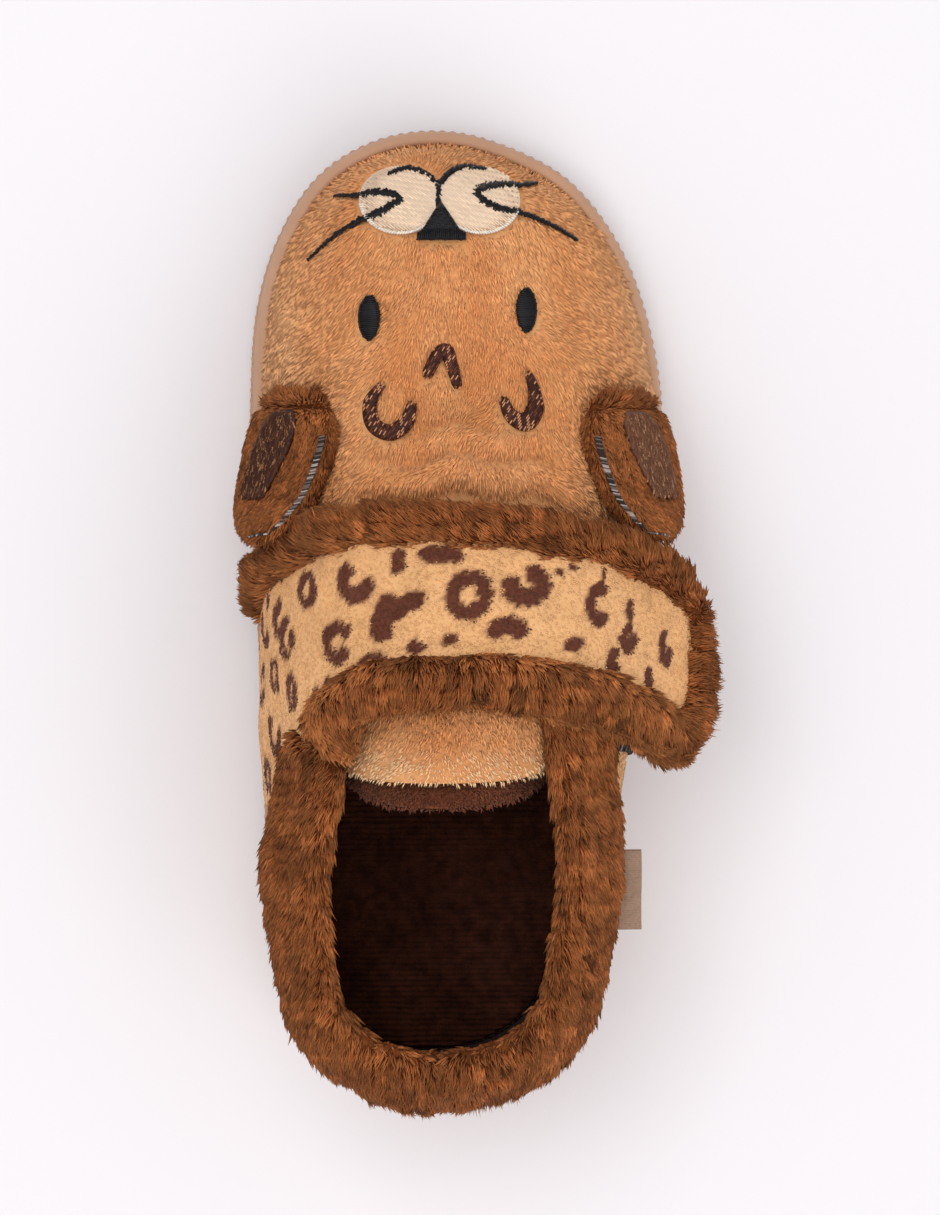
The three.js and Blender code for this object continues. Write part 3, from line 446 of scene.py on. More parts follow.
def tread_groove(y):
    """1 in a cross groove of the tread and 0 outside, with short slopes."""
    apart = np.abs(y[..., None] / SOLE_LENGTH - TREAD_PLACES).min(-1) * SOLE_LENGTH
    return 1 - smooth_step(TREAD_WIDTH / 2 - 0.25, TREAD_WIDTH / 2 + 0.25, apart)


sole_turns = turns_around(SOLE_COLUMNS)
sole_outline = sole_edge(sole_turns)
around = lengths_along(sole_outline)
rib_count = round(around[-1] / RIB_PITCH)
inset, height, arched = (SOLE_SIDE[None, :, k] for k in range(3))
in_band = smooth_step(RIB_BAND[0] - 0.4, RIB_BAND[0] + 0.4, height) - smooth_step(
    RIB_BAND[1] - 0.4, RIB_BAND[1] + 0.3, height
)
rib = (0.5 + 0.5 * np.cos(2 * np.pi * rib_count * around / around[-1]))[:, None] ** 1.5
plan = inset_edge(sole_turns[:, None] + 0 * inset, inset + RIB_DEPTH * rib * in_band * (inset < 1))
sole_lift = (np.maximum(0, section("lift", sole_turns)) * TOE_SPRING)[:, None]
sole_arch = (np.maximum(0, section("arch", sole_turns)) * ARCH_HEIGHT)[:, None]
cut = tread_groove(sole_outline[:, 1])[:, None]
rise = height + cut * np.maximum(0, TREAD_DEPTH - height) * (inset < TREAD_INSET)
wall_points = np.concatenate([plan, (rise + sole_lift + arched * sole_arch)[..., None]], -1)
faces = grid_faces(*wall_points.shape[:2], closed_rows=True)
wall_points = wall_points.reshape(-1, 3)
mottle_and_groove_shade = 1 + 0.035 * ripple(wall_points, 30, 11)
# Painted shade: the rows in the side's groove are darkened, on top of a faint random mottle of the rubber.
mottle_and_groove_shade -= 0.22 * np.tile(((SOLE_SIDE[:, 1] > 5.8) & (SOLE_SIDE[:, 1] < 7)), len(sole_turns))
make_piece("outsole_wall", wall_points, [faces], rubber, RUBBER * mottle_and_groove_shade[:, None], ["outsole"])

tread_turns = FINE_TURNS[::8]
tread_edge, tread_inner = (
    inset_edge(turns, np.full(len(turns), TREAD_INSET)) for turns in (tread_turns, 2 - tread_turns)
)
tread_y = np.linspace(tread_edge[0, 1] + 0.02, tread_edge[-1, 1] - 0.02, 170)
beside = np.linspace(0, 1, 17)[None, :]
tread_from = np.interp(tread_y, tread_inner[:, 1], tread_inner[:, 0])[:, None]
tread_to = np.interp(tread_y, tread_edge[:, 1], tread_edge[:, 0])[:, None]
tread_x = tread_from + beside * (tread_to - tread_from)
tread_turn = turn_at(tread_y / SOLE_LENGTH, True)
tread_lift = np.maximum(0, section("lift", tread_turn)) * TOE_SPRING
tread_arch = np.maximum(0, section("arch", tread_turn)) * ARCH_HEIGHT
tread_low = tread_lift + tread_arch + TREAD_DEPTH * tread_groove(tread_y)
tread_sheet = [
    np.stack([tread_x, tread_y[:, None] + 0 * beside, z[:, None] + 0 * beside], -1)
    for z in (tread_low, tread_lift + SOLE_FLOOR - 0.2)
]
tread_points, faces = closed_layer(np.concatenate([tread_sheet[0], tread_sheet[1][:, ::-1]], 1))
tint = RUBBER * (0.93 + 0.03 * ripple(tread_points, 22, 12))[:, None]
make_piece("outsole_tread", tread_points, [faces], rubber, tint)

# Insole: a bed of foam under dark brown ribbed fleece. It lies on the sole's floor, a little dished.
INSOLE_THICKNESS = 3
INSOLE_DISH = 0.35  # of its middle under its edge
FLEECE_PITCH = 0.9
DARK_FLEECE = linear(66, 34, 24)
WAVE_SCALE = 0.314  # of a wave texture, for one wave to each unit of length


def ribs_at(tree, direction, pitch):
    """A wave along one direction of the slipper, its ribs a pitch in millimetres apart."""
    ribs = tree.nodes.new("ShaderNodeTexWave")
    ribs.wave_type, ribs.bands_direction = "BANDS", direction
    ribs.inputs["Scale"].default_value = WAVE_SCALE / (pitch * MM)
    tree.links.new(tree.nodes["Texture Coordinate"].outputs["Object"], ribs.inputs["Vector"])
    return ribs


def ribbed_fleece(name, pitch, height):
    """A short fleece with fine ribs across the shoe, a wave along its length that a noise bends."""
    material = tinted_material(name, 0.95, 0.03, 0.04, (500, 0.4), (1800, 0.9, 0.5))
    tree = material.node_tree
    ribs = ribs_at(tree, "Y", pitch)
    ribs.inputs["Distortion"].default_value = 2.0
    ribs.inputs["Detail Scale"].default_value = 0.6
    raised = bumped(tree, ribs.outputs["Fac"], 0.8, height, tree.nodes["Bump"].outputs["Normal"])
    tree.links.new(raised, tree.nodes["Principled BSDF"].inputs["Normal"])
    return material


fleece = ribbed_fleece("dark_fleece", FLEECE_PITCH, 0.45)
insole_turns = turns_around(90)
insole_edge = inset_edge(insole_turns, np.full(len(insole_turns), RIM_WALL + UPPER_WALL + 2 * FIT_GAP))
insole_centre = crest_line(insole_turns)
inward = np.array([0, 0, 0, 0.02, 0.05] + list(np.linspace(0.1, 1, 14)))
dished = INSOLE_THICKNESS - INSOLE_DISH * np.linspace(0.05, 1, 14)
level = np.array([0, 0.3, 2.3, 2.8, INSOLE_THICKNESS] + list(dished))
bed_plan = insole_edge[:, None] + inward[None, :, None] * (insole_centre - insole_edge)[:, None]
under_turn = turn_at(bed_plan[..., 1] / SOLE_LENGTH, True)
bed_rise = SOLE_FLOOR + FIT_GAP + np.maximum(0, section("lift", under_turn)) * TOE_SPRING
bed_top = np.concatenate([bed_plan, (bed_rise + level)[..., None]], -1)
bed_top[..., 2] += 0.12 * ripple(bed_top.reshape(-1, 3), 7, 21, 2).reshape(bed_top.shape[:2]) * (inward > 0)
bed_low = bed_top[:, -1:].copy()
bed_low[..., 2] -= level[-1]
bed = np.concatenate([bed_low, bed_top], 1)
faces = grid_faces(*bed.shape[:2], closed_rows=True, closed_columns=False)
bed_points = bed.reshape(-1, 3)
tint = DARK_FLEECE * (1 + 0.15 * ripple(bed_points, 14, 22, 2))[:, None]
insole = make_piece("insole_bed", bed_points, [faces], fleece, tint, ["insole"])

# Quarters: printed velvety plush on a padded wall, lined with the dark fleece, round the heel and
# both sides as far as the strap. The print is a plain spotted repeat, charted here.
PRINT_BASE = linear(225, 174, 122)
PRINT_DEEP = linear(206, 150, 92)  # towards which the ground of the print turns in patches
PRINT_SPOT = linear(96, 53, 38)
PANEL_SEAM = 0.52  # where the quarters meet the vamp, as a share of the length
REPEAT = (31.0, 27.0)
# A spot is a stroke along part of an oval: its centre, the oval's two half sizes, its tilt, where
# the stroke starts and how far it sweeps, in degrees, and the stroke's half width.
REPEAT_SPOTS = np.array([
    [4.0, 4.5, 2.4, 2.1, 10, 40, 280, 1.05],
    [12.5, 8.0, 1.9, 2.4, -20, 150, 215, 1.15],
    [20.5, 3.8, 2.2, 1.6, 0, -60, 290, 0.95],
    [27.2, 10.0, 2.5, 2.0, 15, 100, 250, 1.05],
    [5.5, 13.5, 1.9, 1.5, -10, 200, 300, 0.95],
    [14.2, 17.2, 2.6, 2.5, 0, 0, 360, 1.15],
    [22.6, 16.8, 1.5, 0.3, 30, 90, 180, 1.2],
    [29.0, 20.5, 1.4, 2.1, 20, 170, 200, 1.0],
    [7.5, 21.6, 0.3, 1.9, 25, 0, 180, 1.15],
    [20.0, 23.8, 1.8, 1.7, 0, 80, 240, 0.95],
    [0.8, 24.0, 0.4, 0.3, 0, 0, 360, 0.8],
    [10.0, 0.3, 0.3, 0.8, 0, 0, 180, 0.75],
    [25.6, 23.6, 0.6, 0.3, 0, 0, 360, 0.7],
    [17.2, 11.2, 0.4, 0.5, 0, 0, 360, 0.75],
])


def spotted(first, second, spots, repeat, wobble):
    """How much of the spots' colour a place has: 1 inside a stroke and 0 outside. Distances are
    taken to eleven points along each spot's oval, less its half width."""
    inside = np.full(len(first), -9.0)
    for centre_1, centre_2, half_1, half_2, tilt, start, sweep, thick in spots:
        turn = np.radians(start + sweep * np.linspace(0, 1, 11))
        x, y = half_2 * np.cos(turn), half_1 * np.sin(turn)
        slant = math.radians(tilt)
        x, y = x * math.cos(slant) - y * math.sin(slant), x * math.sin(slant) + y * math.cos(slant)
        across_1 = first[:, None] - centre_1 - y
        across_2 = second[:, None] - centre_2 - x
        if repeat:
            across_1 = (across_1 + repeat[0] / 2) % repeat[0] - repeat[0] / 2
            across_2 = (across_2 + repeat[1] / 2) % repeat[1] - repeat[1] / 2
        inside = np.maximum(inside, thick - np.hypot(across_1, across_2).min(1))
    return smooth_step(-0.16, 0.16, inside + wobble)


def printed(points, share):
    """The print's colour at each point, from how much of a spot it has, with a faint mottling."""
    mottled = (1 + 0.05 * ripple(points, 5, 31, 2))[:, None]
    patch = (0.5 + 0.5 * ripple(points, 16, 32))[:, None]
    base = PRINT_BASE * mottled + (PRINT_DEEP - PRINT_BASE) * 0.25 * patch
    return base + share[:, None] * (PRINT_SPOT * mottled - base)


def scatter(grid, count, random, weigh, closed_columns=True):
    """Roots spread over a grid of points by area, times what weigh gives for the cells' middles
    and normals, which point outwards where the grid is a closed tube. Gives each root's place,
    normal and place on the grid."""
    nexts = np.roll(grid, -1, 1) if closed_columns else grid[:, 1:]
    whole = grid if closed_columns else grid[:, :-1]
    a, b, c, d = whole[:-1], whole[1:], nexts[1:], nexts[:-1]
    normal = np.cross(c - a, d - b)
    area = np.linalg.norm(normal, axis=-1)
    middle = (a + b + c + d) / 4
    if closed_columns and np.einsum("ijk,ijk->", normal, middle - middle.mean((0, 1))) < 0:
        normal = -normal
    normal = normal / np.maximum(area, 1e-9)[..., None]
    weight = area.copy()
    if weigh:
        weight *= weigh(middle.reshape(-1, 3), normal.reshape(-1, 3)).reshape(area.shape)
    weight = np.maximum(weight, 0).ravel()
    cell = np.searchsorted(np.cumsum(weight) / weight.sum(), random.random(count))
    cell = np.minimum(cell, len(weight) - 1)
    i, j = np.divmod(cell, area.shape[1])
    s, t = random.random((2, count, 1))
    a, b, c, d = (corner[i, j] for corner in (a, b, c, d))
    root = (a * (1 - s) + b * s) * (1 - t) + (d * (1 - s) + c * s) * t
    return root, normal[i, j], i + s[:, 0], j + t[:, 0]


FIBRE_BURIED = 0.35


def unit_of(vectors):
    """Vectors brought to the length 1."""
    return vectors / np.maximum(np.linalg.norm(vectors, axis=1, keepdims=True), 1e-9)


def pile(name, slot, material, random, roots, normals, lie, length, width, lift, colours,
         tangle, gather=0.0, gather_size=1.6, tuft_tone_and_border_shade=0.0):
    """Fibres that stand on a surface. Each is a closed blade of four triangles: a point under the
    root, the two sides of a bend not half way along, and the tip. It rises at the angle lift from the
    surface, in the direction lie with a random tangle, and its outer part bends down to about a
    third of that. Tips in the same cell of a random lattice are drawn together by gather, as in
    tufts. A tuft is at random a little lighter or darker than the next, and its border is darkened
    as painted shade in the gaps between tufts. The colours are those of the roots, the bends and
    the tips."""
    low, mid, high = colours
    count = len(roots)
    lie = lie - normals * np.einsum("ij,ij->i", lie, normals)[:, None]
    lie = unit_of(unit_of(lie) + tangle * random.normal(size=(count, 3)))
    lie = unit_of(lie - normals * np.einsum("ij,ij->i", lie, normals)[:, None])
    lift = np.clip(lift * (1 + 0.3 * random.normal(size=count)), 0.02, 1.5)[:, None]
    first = lie * np.cos(lift) + normals * np.sin(lift)
    second = lie * np.cos(lift * 0.35) + normals * np.sin(lift * 0.35)
    length = (length * random.uniform(0.7, 1.2, count))[:, None]
    bend = roots + first * length * 0.42
    tip = bend + second * length * 0.58
    if gather:
        lattice = np.floor((roots + 0.35 * random.normal(size=(count, 3))) / gather_size).astype(np.int64)
        _, cell = np.unique(lattice, axis=0, return_inverse=True)
        cell = cell.ravel()
        share = np.bincount(cell)
        middle = np.stack([np.bincount(cell, tip[:, k]) / share for k in range(3)], 1)
        apart = np.linalg.norm(tip - middle[cell], axis=1) / gather_size
        # Each tuft's random tone, less painted shade on fibres far from the tuft's middle, for the gaps
        # between tufts.
        own = 1 + tuft_tone_and_border_shade * random.normal(size=len(share))[cell] - 1.6 * tuft_tone_and_border_shade * np.clip(apart - 0.35, 0, 0.6)
        low, mid, high = (colour * np.clip(own, 0.3, 1.6)[:, None] for colour in (low, mid, high))
        pull = gather * random.uniform(0.4, 1.0, (count, 1))
        bend = bend + 0.35 * pull * (middle[cell] - tip)
        tip = tip + pull * (middle[cell] - tip)
    side = unit_of(np.cross(tip - roots, normals))
    up = unit_of(np.cross(side, tip - roots))
    half = (width * random.uniform(0.6, 1.25, count) / 2)[:, None]
    rising = bend + up * half * 0.5
    buried = roots - normals * FIBRE_BURIED
    points = np.stack([buried, rising + side * half, rising - side * half, tip], 1).reshape(-1, 3)
    start = np.arange(count)[:, None] * 4
    blade = ((0, 2, 1), (3, 1, 2), (0, 1, 3), (0, 3, 2))
    faces = np.concatenate([start + np.array(corners) for corners in blade])
    tint = np.stack([low, mid, mid, high], 1).reshape(-1, 3)
    make_piece(name, points, [faces], material, np.clip(tint, 0, 1))


def shell(turns, rows_out, rows_in, relief):
    """The wall over a run of turns, as closed loops: up the outer face, moved out by relief, and
    down the inner face, which lies closer to it at the top where the wall is open."""
    top = edge_angle(turns)[:, None]
    is_open = (top < QUARTER_TURN - 1e-6).astype(float)
    out_share, in_share = np.linspace(0, 1, rows_out), np.linspace(1, 0, rows_in)
    flat = upper_point(turns[:, None], out_share * top)
    outside = upper_point(turns[:, None], out_share * top, relief(flat, out_share))
    thinner = (UPPER_WALL - TOPLINE_WALL) * is_open * in_share**2
    inside = upper_point(turns[:, None], in_share * top, thinner - UPPER_WALL)
    return np.concatenate([outside, inside], 1)


def spread_turns(start, end, count):
    """Turns evenly spaced along the outline between two turns, by way of the heel or the toe."""
    turns = np.linspace(start, end, 3001)
    length = lengths_along(sole_edge(turns % 2))
    return np.interp(np.linspace(0, length[-1], count), length, turns) % 2


SEAM_OUTER = float(turn_at(PANEL_SEAM, True))
SEAM_INNER = float(turn_at(PANEL_SEAM, False))
quarter_turns = spread_turns(SEAM_OUTER, SEAM_INNER - 2, 350)
QUARTER_ROWS = 56
LINING_ROWS = 16
QUARTER_WAVES = ((0.3, 20, 41), (0.1, 7, 42))  # height, size and seed
QUARTER_FIBRES = 12000
PLUSH_DEPTH = 0.1  # of the plush over the wall
MEASURED_ROW = 20  # the row on which lengths round the quarters are taken


def quarter_relief(flat, share):
    """A soft unevenness of the padding that dies out at the lower edge, where the rim holds it."""
    wave = rippled(flat.reshape(-1, 3), QUARTER_WAVES)
    return wave.reshape(flat.shape[:2]) * smooth_step(0.15, 0.45, share) + PLUSH_DEPTH


quarter_grid = shell(quarter_turns, QUARTER_ROWS, LINING_ROWS, quarter_relief)
quarter_out = quarter_grid[:, :QUARTER_ROWS]
quarter_around = lengths_along(quarter_out[:, MEASURED_ROW])
quarter_up = lengths_along(quarter_out.swapaxes(0, 1)).T


def quarter_print(i, j, points):
    """The repeat's share at places on the quarters' grid."""
    first = np.interp(i, np.arange(len(quarter_around)), quarter_around)
    i0, j0 = np.minimum(i.astype(int), len(quarter_turns) - 1), np.minimum(j.astype(int), QUARTER_ROWS - 2)
    second = quarter_up[i0, j0] + (j - j0) * (quarter_up[i0, j0 + 1] - quarter_up[i0, j0])
    return spotted(first, second, REPEAT_SPOTS, REPEAT, 0.16 * ripple(points, 1.6, 33))


plush_print = tinted_material("spotted_plush", 0.85, 0.1, 0.15, (1500, 0.07), (3200, 0.3, 0.1))
points, faces = closed_layer(quarter_grid)
i, j = np.divmod(np.arange(len(points)), QUARTER_ROWS + LINING_ROWS)
outer_face = j < QUARTER_ROWS
share = np.zeros(len(points))
share[outer_face] = quarter_print(*(each[outer_face] for each in (i.astype(float), j.astype(float), points)))
tint = printed(points, share)
tint[~outer_face] = DARK_FLEECE * (1 + 0.15 * ripple(points[~outer_face], 12, 23, 2))[:, None]
lined = (j[faces] >= QUARTER_ROWS).any(1)
quarters = make_piece("quarters", points, [faces], plush_print, tint, ["upper"])
quarters.data.materials.append(fleece)
quarters.data.polygons.foreach_set("material_index", lined.astype(np.int32))

# The quarters' pile: very short, brushed towards the heel and down, in the print's colours.
pile_random = np.random.default_rng(51)
plush_fibre = tinted_material("plush_fibre", 0.75, 0.06, 0.1, (700, 0.08), (3000, 0.0, 0.05))


def shades_of(colour, random, root_shade, tip_highlight, spread=0.1):
    """Three colours for each fibre, at its root, bend and tip, around a colour of its own: the root
    darker as painted shade among the fibres and the tip paler as a painted highlight.
    """
    own = colour * (1 + spread * random.normal(size=(len(colour), 1)))
    return own * root_shade, own, np.clip(own * tip_highlight, 0, 1)


def above_rim(middles, normals):
    """Fibres start over the sole's rim, not inside it."""
    return smooth_step(RIM_HEIGHT - 0.5, RIM_HEIGHT + 1.5, middles[:, 2])


roots, normals, i, j = scatter(quarter_out, QUARTER_FIBRES, pile_random, above_rim, False)
colour = printed(roots, quarter_print(i, j, roots))
rearward_down = np.array([0, -0.8, -0.6]) + 0 * roots
colours = shades_of(colour, pile_random, 0.88, 1.06, 0.05)
pile(
    "quarters_pile", "spotted_plush", plush_fibre, pile_random, roots, -normals, rearward_down,
    length=1.0, width=0.3, lift=0.15, colours=colours, tangle=0.5,
)

# Vamp: tan plush on the same wall, closed over the toe, with soft creases across it in front of the
# strap. Its nap lies back from the toe and spreads to both sides.
TAN = linear(236, 174, 118)
TAN_DEEP = linear(218, 144, 86)
TAN_LIGHT = linear(247, 210, 164)
CREASES = np.array([  # share of the length, depth, half width, half reach across, bend towards the toe
    [0.612, 1.5, 2.2, 0.62, 0.012],
    [0.636, -1.0, 2.4, 0.5, 0.016],
    [0.655, 1.1, 1.5, 0.42, 0.018],
    [0.672, -0.6, 2.0, 0.34, 0.02],
    [0.686, 0.7, 1.3, 0.3, 0.016],
    [0.704, 0.4, 1.2, 0.2, 0.01],
])
VAMP_FIBRES = 37500
VAMP_WAVES = ((0.35, 24, 61), (0.12, 8, 62))
VAMP_ROWS = 52
VAMP_LINING_ROWS = 12

vamp_turns = spread_turns(SEAM_OUTER, 1, 130)
vamp_turns = np.concatenate([vamp_turns, 2 - vamp_turns[:-1][::-1]])


def across_of(points):
    """How far a place is from the crest, as a share of half the ball width."""
    turn = turn_at(np.clip(points[:, 1] / SOLE_LENGTH, 0, 1), True)
    return (points[:, 0] - crest_line(turn)[:, 0]) / (BALL_WIDTH / 2)


def vamp_waves(points):
    """Padding that is a little uneven, and creased."""
    return rippled(points, VAMP_WAVES) - creasing(points)


def creasing(points):
    """How deep the creases are, less than 0 on the ridges between them. Each is a bell curve along
    the shoe that fades out across it."""
    across = across_of(points)
    total = np.zeros(len(points))
    for along, depth, half, reach, bend in CREASES:
        middle = (along - bend * across**2 * 4 + 0.004 * ripple(points[:, :1], 14, 63)) * SOLE_LENGTH
        bell = np.exp(-(((points[:, 1] - middle) / half) ** 2))
        total += depth * bell * np.exp(-((across / reach) ** 4))
    return total


def vamp_relief(flat, share):
    """The waves and creases, dying out at the lower edge, where the rim holds it."""
    wave = vamp_waves(flat.reshape(-1, 3))
    return wave.reshape(flat.shape[:2]) * smooth_step(0.12, 0.4, share) + PLUSH_DEPTH


def weld(points, faces):
    """Joins points that lie in one place, and drops the corners that a face then has twice."""
    _, first, where = np.unique(np.round(points, 3), axis=0, return_index=True, return_inverse=True)
    faces = where.ravel()[faces]
    once = faces[np.array([len(set(face)) == 4 for face in faces.tolist()])]
    return points[first], once


vamp_grid = shell(vamp_turns, VAMP_ROWS, VAMP_LINING_ROWS, vamp_relief)
vamp_out = vamp_grid[:, :VAMP_ROWS]
points, faces = closed_layer(vamp_grid)
closed_top = edge_angle(vamp_turns) > QUARTER_TURN - 1e-6
i, j = np.divmod(faces, VAMP_ROWS + VAMP_LINING_ROWS)
rim_face = ((j == VAMP_ROWS - 1) | (j == VAMP_ROWS)).all(1) & closed_top[i].all(1)
points, faces = weld(points, faces[~rim_face])


def tan_with_painted_light(points, seed):
    """Tan that turns lighter and deeper in patches, as the pile is brushed one way or another, with
    painted shade in the creases and painted light on their ridges, and paler towards the sides,
    where its tips are seen, as a painted sheen."""
    patch = np.clip(0.5 + 0.38 * ripple(points, 17, seed) + 0.22 * ripple(points, 6, seed + 1), 0, 1)[:, None]
    edge = smooth_step(0.62, 1.0, np.abs(across_of(points)))[:, None]
    colour = TAN_DEEP + (TAN - TAN_DEEP) * (0.35 + 0.75 * patch)
    # Painted shade in the creases' troughs and painted light on the ridges between them.
    colour = colour * (1 - 0.24 * np.clip(creasing(points), -0.4, 1))[:, None]
    # Painted sheen: paler towards the sides, where the pile's tips are seen edge on.
    return colour + (TAN_LIGHT - colour) * 0.35 * edge


tan_plush = tinted_material("tan_plush", 0.9, 0.1, 0.1, (1400, 0.12), (2600, 0.7, 0.2))
# The plush under the pile is darkened to 0.85 as painted shade beneath the fibres.
vamp = make_piece("vamp", points, [faces], tan_plush, tan_with_painted_light(points, 64) * 0.85)

# Face: an animal's face stitched on the vamp in satin and fill stitches, over thin pads. It is a
# cream muzzle with a black nose, mouth and whiskers, two black eyes and three brown marks.
EMBROIDERY_THICKNESS = 0.8
CREAM_THREAD = linear(240, 214, 186)
WHITE_THREAD = linear(253, 246, 234)
BLACK_THREAD = linear(19, 18, 22)
BROWN_THREADS = np.array([linear(66, 32, 22), linear(112, 62, 42), linear(206, 146, 106)])
BROWN_SHARES = (0.42, 0.3, 0.28)
BROWN_WIDTH = 0.82  # of the solids' strokes, which the stitches draw in
HALVINGS = 26


def vamp_point(plan, offset):
    """The place on the vamp, moved out by offset, straight under each place of the plan. Halving
    finds the turn whose meridian passes over it, and then the angle on that meridian."""
    tip = crest_line(np.array(1.0))
    under = crest_line(turn_at(np.clip(plan[:, 1] / SOLE_LENGTH, 0, 1), True))[:, 0]
    outer = plan[:, 0] > np.where(plan[:, 1] < tip[1], under, tip[0])
    low, high = np.full(len(plan), 0.3), np.ones(len(plan))
    for _ in range(HALVINGS):
        turn = np.where(outer, (low + high) / 2, 2 - (low + high) / 2)
        gap = plan - crest_line(turn)
        reach = inset_edge(turn, np.full(len(turn), RIM_WALL + FIT_GAP)) - crest_line(turn)
        before = (reach[:, 0] * gap[:, 1] - reach[:, 1] * gap[:, 0]) * np.where(outer, 1, -1) > 0
        low, high = np.where(before, (low + high) / 2, low), np.where(before, high, (low + high) / 2)
    turn = np.where(outer, low, 2 - low)
    centre = crest_line(turn)
    far = np.linalg.norm(plan - centre, axis=1)
    low, high = np.zeros(len(plan)), np.full(len(plan), QUARTER_TURN)
    for _ in range(HALVINGS):
        point = upper_point(turn, (low + high) / 2, offset)
        beyond = np.linalg.norm(point[:, :2] - centre, axis=1) > far
        low, high = np.where(beyond, (low + high) / 2, low), np.where(beyond, high, (low + high) / 2)
    return np.concatenate([plan, upper_point(turn, low, offset)[:, 2:]], 1)


def on_vamp(plan, offset):
    """The same on the vamp's uneven face."""
    flat = plan.reshape(-1, 2)
    offset = np.broadcast_to(offset, plan.shape[:-1]).ravel()
    raised = vamp_point(flat, 0 * offset)
    return vamp_point(flat, offset + vamp_waves(raised) + PLUSH_DEPTH).reshape(*plan.shape[:-1], 3)


def vamp_normal(plan):
    """The direction out of the vamp's face over places of the plan, from two short steps aside."""
    steps = np.eye(2) * 0.4
    sides = [on_vamp(plan + step, 0.0) - on_vamp(plan, 0.0) for step in steps]
    return unit_of(np.cross(*sides))


def on_plan(x, y):
    """A place of the face, from shares of the ball width and of the sole's length."""
    return np.array([x * BALL_WIDTH, y * SOLE_LENGTH])


MUZZLE = {"lobe": 6.5, "apart": 6.4, "tall": 5.7, "waist": 2.4}
MUZZLE_AT = on_plan(-0.057, 0.918)
NOSE = {"half": 4.1, "tip": 3.8, "base": 2.7}
NOSE_AT = on_plan(-0.057, 0.892)
NOSE_BAND = 2.1  # height of the band of stitches along its base
EYE_HALF = (1.7, 3.6)
EYES_AT = {"inner": on_plan(-0.227, 0.796), "outer": on_plan(0.145, 0.804)}


def muzzle_radius(turn):
    """Two round lobes side by side, seen from the point between them."""
    c, s = np.abs(np.cos(turn)), np.sin(turn)
    square = (c / MUZZLE["lobe"]) ** 2 + (s / MUZZLE["tall"]) ** 2
    linear_part = -2 * c * MUZZLE["apart"] / MUZZLE["lobe"] ** 2
    constant = (MUZZLE["apart"] / MUZZLE["lobe"]) ** 2 - 1
    root = np.sqrt(np.maximum(0, linear_part**2 - 4 * square * constant))
    return np.maximum(MUZZLE["waist"], (root - linear_part) / (2 * square))


def nose_radius(turn):
    """A triangle with its tip towards the toe, drawn as the nearest of its three sides."""
    c, s = np.abs(np.cos(turn)), np.sin(turn)
    towards_side = s + (NOSE["tip"] + NOSE["base"]) / NOSE["half"] * c
    side = np.where(towards_side > 0, NOSE["tip"] / np.maximum(towards_side, 1e-6), 99)
    return np.minimum(side, np.where(s < 0, NOSE["base"] / np.maximum(-s, 1e-6), 99))


def eye_radius(turn):
    """An upright oval."""
    return 1 / np.hypot(np.cos(turn) / EYE_HALF[0], np.sin(turn) / EYE_HALF[1])


BLOTS = {
    "muzzle": (MUZZLE_AT, muzzle_radius), "nose": (NOSE_AT, nose_radius),
    "eye_inner": (EYES_AT["inner"], eye_radius), "eye_outer": (EYES_AT["outer"], eye_radius),
}


def strokes_of(rows):
    """A stroke's x, y and width in millimetres, from shares of the ball width and the length."""
    return np.array([[*on_plan(x, y), wide * BROWN_WIDTH] for x, y, wide in rows])


BROWN_STROKES = {
    "brow_mark": strokes_of([
        [-0.09, 0.738, 2.2], [-0.068, 0.756, 2.6], [-0.046, 0.762, 2.8], [-0.034, 0.748, 2.5],
        [-0.021, 0.727, 2],
    ]),
    "spot_inner": strokes_of([
        [-0.198, 0.727, 1.5], [-0.225, 0.709, 2.6], [-0.218, 0.687, 3], [-0.18, 0.678, 3.2],
        [-0.142, 0.688, 3], [-0.128, 0.706, 2],
    ]),
    "spot_outer": strokes_of([
        [0.088, 0.711, 2], [0.106, 0.695, 2.8], [0.14, 0.689, 3.6], [0.162, 0.702, 3.4], [0.161, 0.722, 2.4],
        [0.148, 0.738, 1.5],
    ]),
}
MOUTH_STROKES = [np.array(rows) for rows in (
    [[-4.2, 141.5, 1.0], [-4.2, 143.8, 0.95], [-4.2, 146.0, 1.0]],
    [[-4.2, 145.6, 1.0], [-5.7, 147.3, 1.0], [-7.4, 148.2, 0.95], [-9.3, 148.5, 0.9], [-11.1, 148.0, 0.85],
     [-12, 147.7, 0.6]],
    [[-4.2, 145.6, 1.0], [-2.3, 147.7, 1.0], [0, 148.8, 0.95], [2.0, 148.7, 0.9], [3.6, 148.4, 0.6]],
    [[-10.3, 143.1, 1.2], [-10.8, 143.9, 1.4], [-13.5, 144.6, 1.3], [-17.0, 144.2, 0.9], [-20.5, 144.4, 0.6]],
    [[-10.3, 143.1, 1.2], [-13.5, 141.3, 1.4], [-16.7, 140.0, 1.1], [-20.5, 137.8, 0.8], [-24.9, 134.0, 0.5]],
    [[2.1, 144.1, 1.2], [2.5, 145.0, 1.4], [5.4, 145.7, 1.3], [9.2, 146.0, 0.8], [12.2, 146.6, 0.5]],
    [[2.1, 144.1, 1.2], [3.2, 142.9, 1.4], [6.0, 141.7, 1.3], [9.8, 141.0, 0.9], [14.2, 139.4, 0.8],
     [18.4, 137.1, 0.5]],
)]
MOUTH_WIDENED = 1.12  # share by which the stitches spread past the strokes
MOUTH_LEVEL = 0.9  # of the stitches on the plush, beside the muzzle
PAD_TOP = FIT_GAP + EMBROIDERY_THICKNESS


